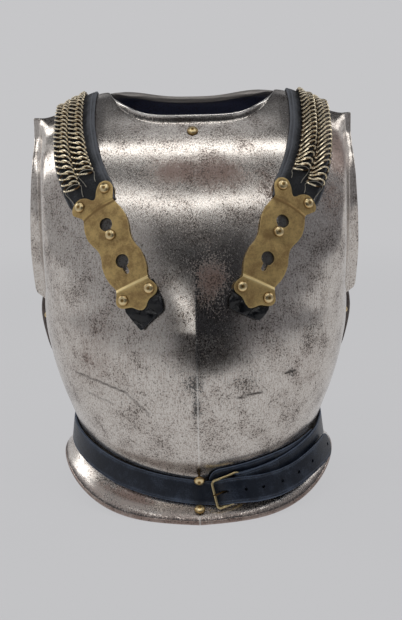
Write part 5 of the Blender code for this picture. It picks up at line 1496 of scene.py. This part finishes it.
part = np.linspace(0.0, 1.0, 30)
lengths = lengths_along(PRONG_ROUTE)
run, height = [smooth_through(part * lengths[-1], lengths, column) for column in PRONG_ROUTE.T]
across = PRONG_ACROSS + (run - FRAME_RUN) * np.tan(turn)
radius = PRONG_WIRE * np.minimum(1.0, 0.55 + 4.0 * (1.0 - part))
points, faces = wire_along(over_waist(run, across, height, WAIST_LEVEL)[None], radius, 10, False)
new_piece("buckle_prong_wire", points, faces, buckle_brass, ["buckle_prong"], {"wear_and_painted_light": -0.9})


# ---- The floor, the light and the camera -----------------------------------------------------------------
# A pale paper floor in a light tent, with two long soft strips above, a small window low on the left and a
# soft panel at each side. For the steel to reflect, a dark card stands round the lens with a dark cloth under
# it, and a grey card at each side.

BACKDROP = "c6c6c8"
# The tent is pale round the horizon, dim above and pale again at its crown. Each change lies between two
# parts of the way up.
TENT_ROOF = "58595c"
TENT_EDGE = (0.4, 0.62)
TENT_CROWN = "b4b5b8"
TENT_TOP = (0.93, 0.99)
SWEEP_RADIUS = 14.0
LIT_RADIUS = 1.2
FADED_RADIUS = 3.2
PAPER_GLOW = 0.89
EYE = (0.0, -1033.9, 360.0)
EYE_PITCH = 9.1
EYE_ROLL = 1.1
LENS = 55.34
SENSOR = 36.0
SHIFT_ASIDE = 0.0081

backdrop = bpy.data.worlds.new("light_tent")
backdrop.use_nodes = True
sky = backdrop.node_tree
direction = add(sky, "TexCoord").outputs["Generated"]
height = add(sky, "SeparateXYZ", {0: direction}).outputs["Z"]
upper, overhead = between(sky, height, *TENT_EDGE), between(sky, height, *TENT_TOP)
roof = mixed(sky, overhead, TENT_ROOF, TENT_CROWN)
background = sky.nodes["Background"].inputs
sky.links.new(mixed(sky, upper, BACKDROP, roof), background["Color"])
background["Strength"].default_value = 1.0
bpy.context.scene.world = backdrop

# Matt paper that glows like the backdrop: mostly so near the object, and wholly so further out, where no
# horizon shows.
paper, tree, shader, _ = new_material("matt_backdrop_paper", Roughness=0.9)
shader.inputs["Base Color"].default_value = to_linear("f4f4f6")
place = add(tree, "TexCoord").outputs["Object"]
distance = add(tree, "VectorMath", {0: place}, operation="LENGTH").outputs["Value"]
glow = add(tree, "Emission", {"Color": to_linear(BACKDROP), "Strength": 1.0}).outputs[0]
faded = summed(tree, PAPER_GLOW, 1.0 - PAPER_GLOW, between(tree, distance, LIT_RADIUS, FADED_RADIUS))
blend = add(tree, "MixShader", {0: faded, 1: shader.outputs[0], 2: glow}).outputs[0]
tree.links.new(blend, tree.nodes["Material Output"].inputs["Surface"])


def staged(name, corners, paint):
    """A flat sheet between its corners, in metres, that is not attached to the cuirass."""
    mesh = bpy.data.meshes.new(name)
    mesh.from_pydata(corners, [], [range(len(corners))])
    mesh.materials.append(paint)
    sheet = bpy.data.objects.new(name, mesh)
    bpy.context.collection.objects.link(sheet)
    return sheet


turns = np.linspace(0.0, 2.0 * np.pi, 65)[:-1]
staged("floor", SWEEP_RADIUS * np.stack((np.cos(turns), np.sin(turns), np.zeros(len(turns))), 1), paper)


def soft_light(name, size, azimuth, elevation, distance, power):
    """A rectangular light at a distance in metres from the chest, turned to face it. The azimuth runs from
    the front towards +X, and both angles are in degrees."""
    lamp = bpy.data.lights.new(name, "AREA")
    lamp.shape = "RECTANGLE"
    lamp.size, lamp.size_y = size
    lamp.energy = power
    light = bpy.data.objects.new(name, lamp)
    turn, tip = np.radians((azimuth, elevation))
    reach = np.array((np.sin(turn) * np.cos(tip), -np.cos(turn) * np.cos(tip), np.sin(tip)))
    light.location = reach * distance + (0.0, 0.0, 0.25)
    light.rotation_euler = Euler((np.pi / 2 - tip, 0.0, turn), "XYZ")
    bpy.context.collection.objects.link(light)


soft_light("strip_over_the_lens", (2.6, 0.16), 0.0, 43.5, 2.0, 3.8)
soft_light("strip_overhead", (2.6, 0.2), 0.0, 68.0, 2.0, 5.4)
soft_light("window", (0.1, 0.07), -13.8, 12.0, 1.9, 0.23)
soft_light("left_panel", (0.9, 1.2), -102.0, 29.0, 2.3, 8.0)
soft_light("right_panel", (0.9, 1.2), 102.0, 29.0, 2.3, 6.0)

# Cards that the lens doesn't see, each with its paint and its corners.
DARK_CLOTH = "1d2029"
CARDS = {
    "lens_card": (DARK_CLOTH, ((-0.8, -2.1, 0.0), (1.15, -2.1, 0.0), (1.15, -2.1, 1.6), (-0.8, -2.1, 1.6))),
    "floor_cloth": (
        DARK_CLOTH,
        ((-0.6, -2.1, 0.002), (1.2, -2.1, 0.002), (0.9, -0.95, 0.002), (-0.4, -0.95, 0.002)),
    ),
    "left_card": ("dadadc", ((-0.8, -2.1, 0.0), (-2.3, 1.0, 0.0), (-2.3, 1.0, 1.4), (-0.8, -2.1, 1.4))),
    "right_card": ("a0a0a4", ((1.15, -2.1, 0.0), (2.3, 1.0, 0.0), (2.3, 1.0, 1.4), (1.15, -2.1, 1.4))),
}
for name, (colour, corners) in CARDS.items():
    card_paint, _, shader, _ = new_material(f"{name}_paint", Roughness=0.9)
    shader.inputs["Base Color"].default_value = to_linear(colour)
    staged(name, corners, card_paint).visible_camera = False

eye = bpy.data.cameras.new("camera")
eye.sensor_width = SENSOR
eye.lens = LENS
eye.shift_x = SHIFT_ASIDE
camera = bpy.data.objects.new("camera", eye)
pitched = Euler((np.radians(90.0 - EYE_PITCH), 0.0, 0.0)).to_matrix()
camera.rotation_euler = (pitched @ Matrix.Rotation(np.radians(-EYE_ROLL), 3, "Z")).to_euler()
camera.location = [length * MM for length in EYE]
bpy.context.collection.objects.link(camera)
bpy.context.scene.camera = camera
bpy.context.scene.view_settings.view_transform = "Standard"
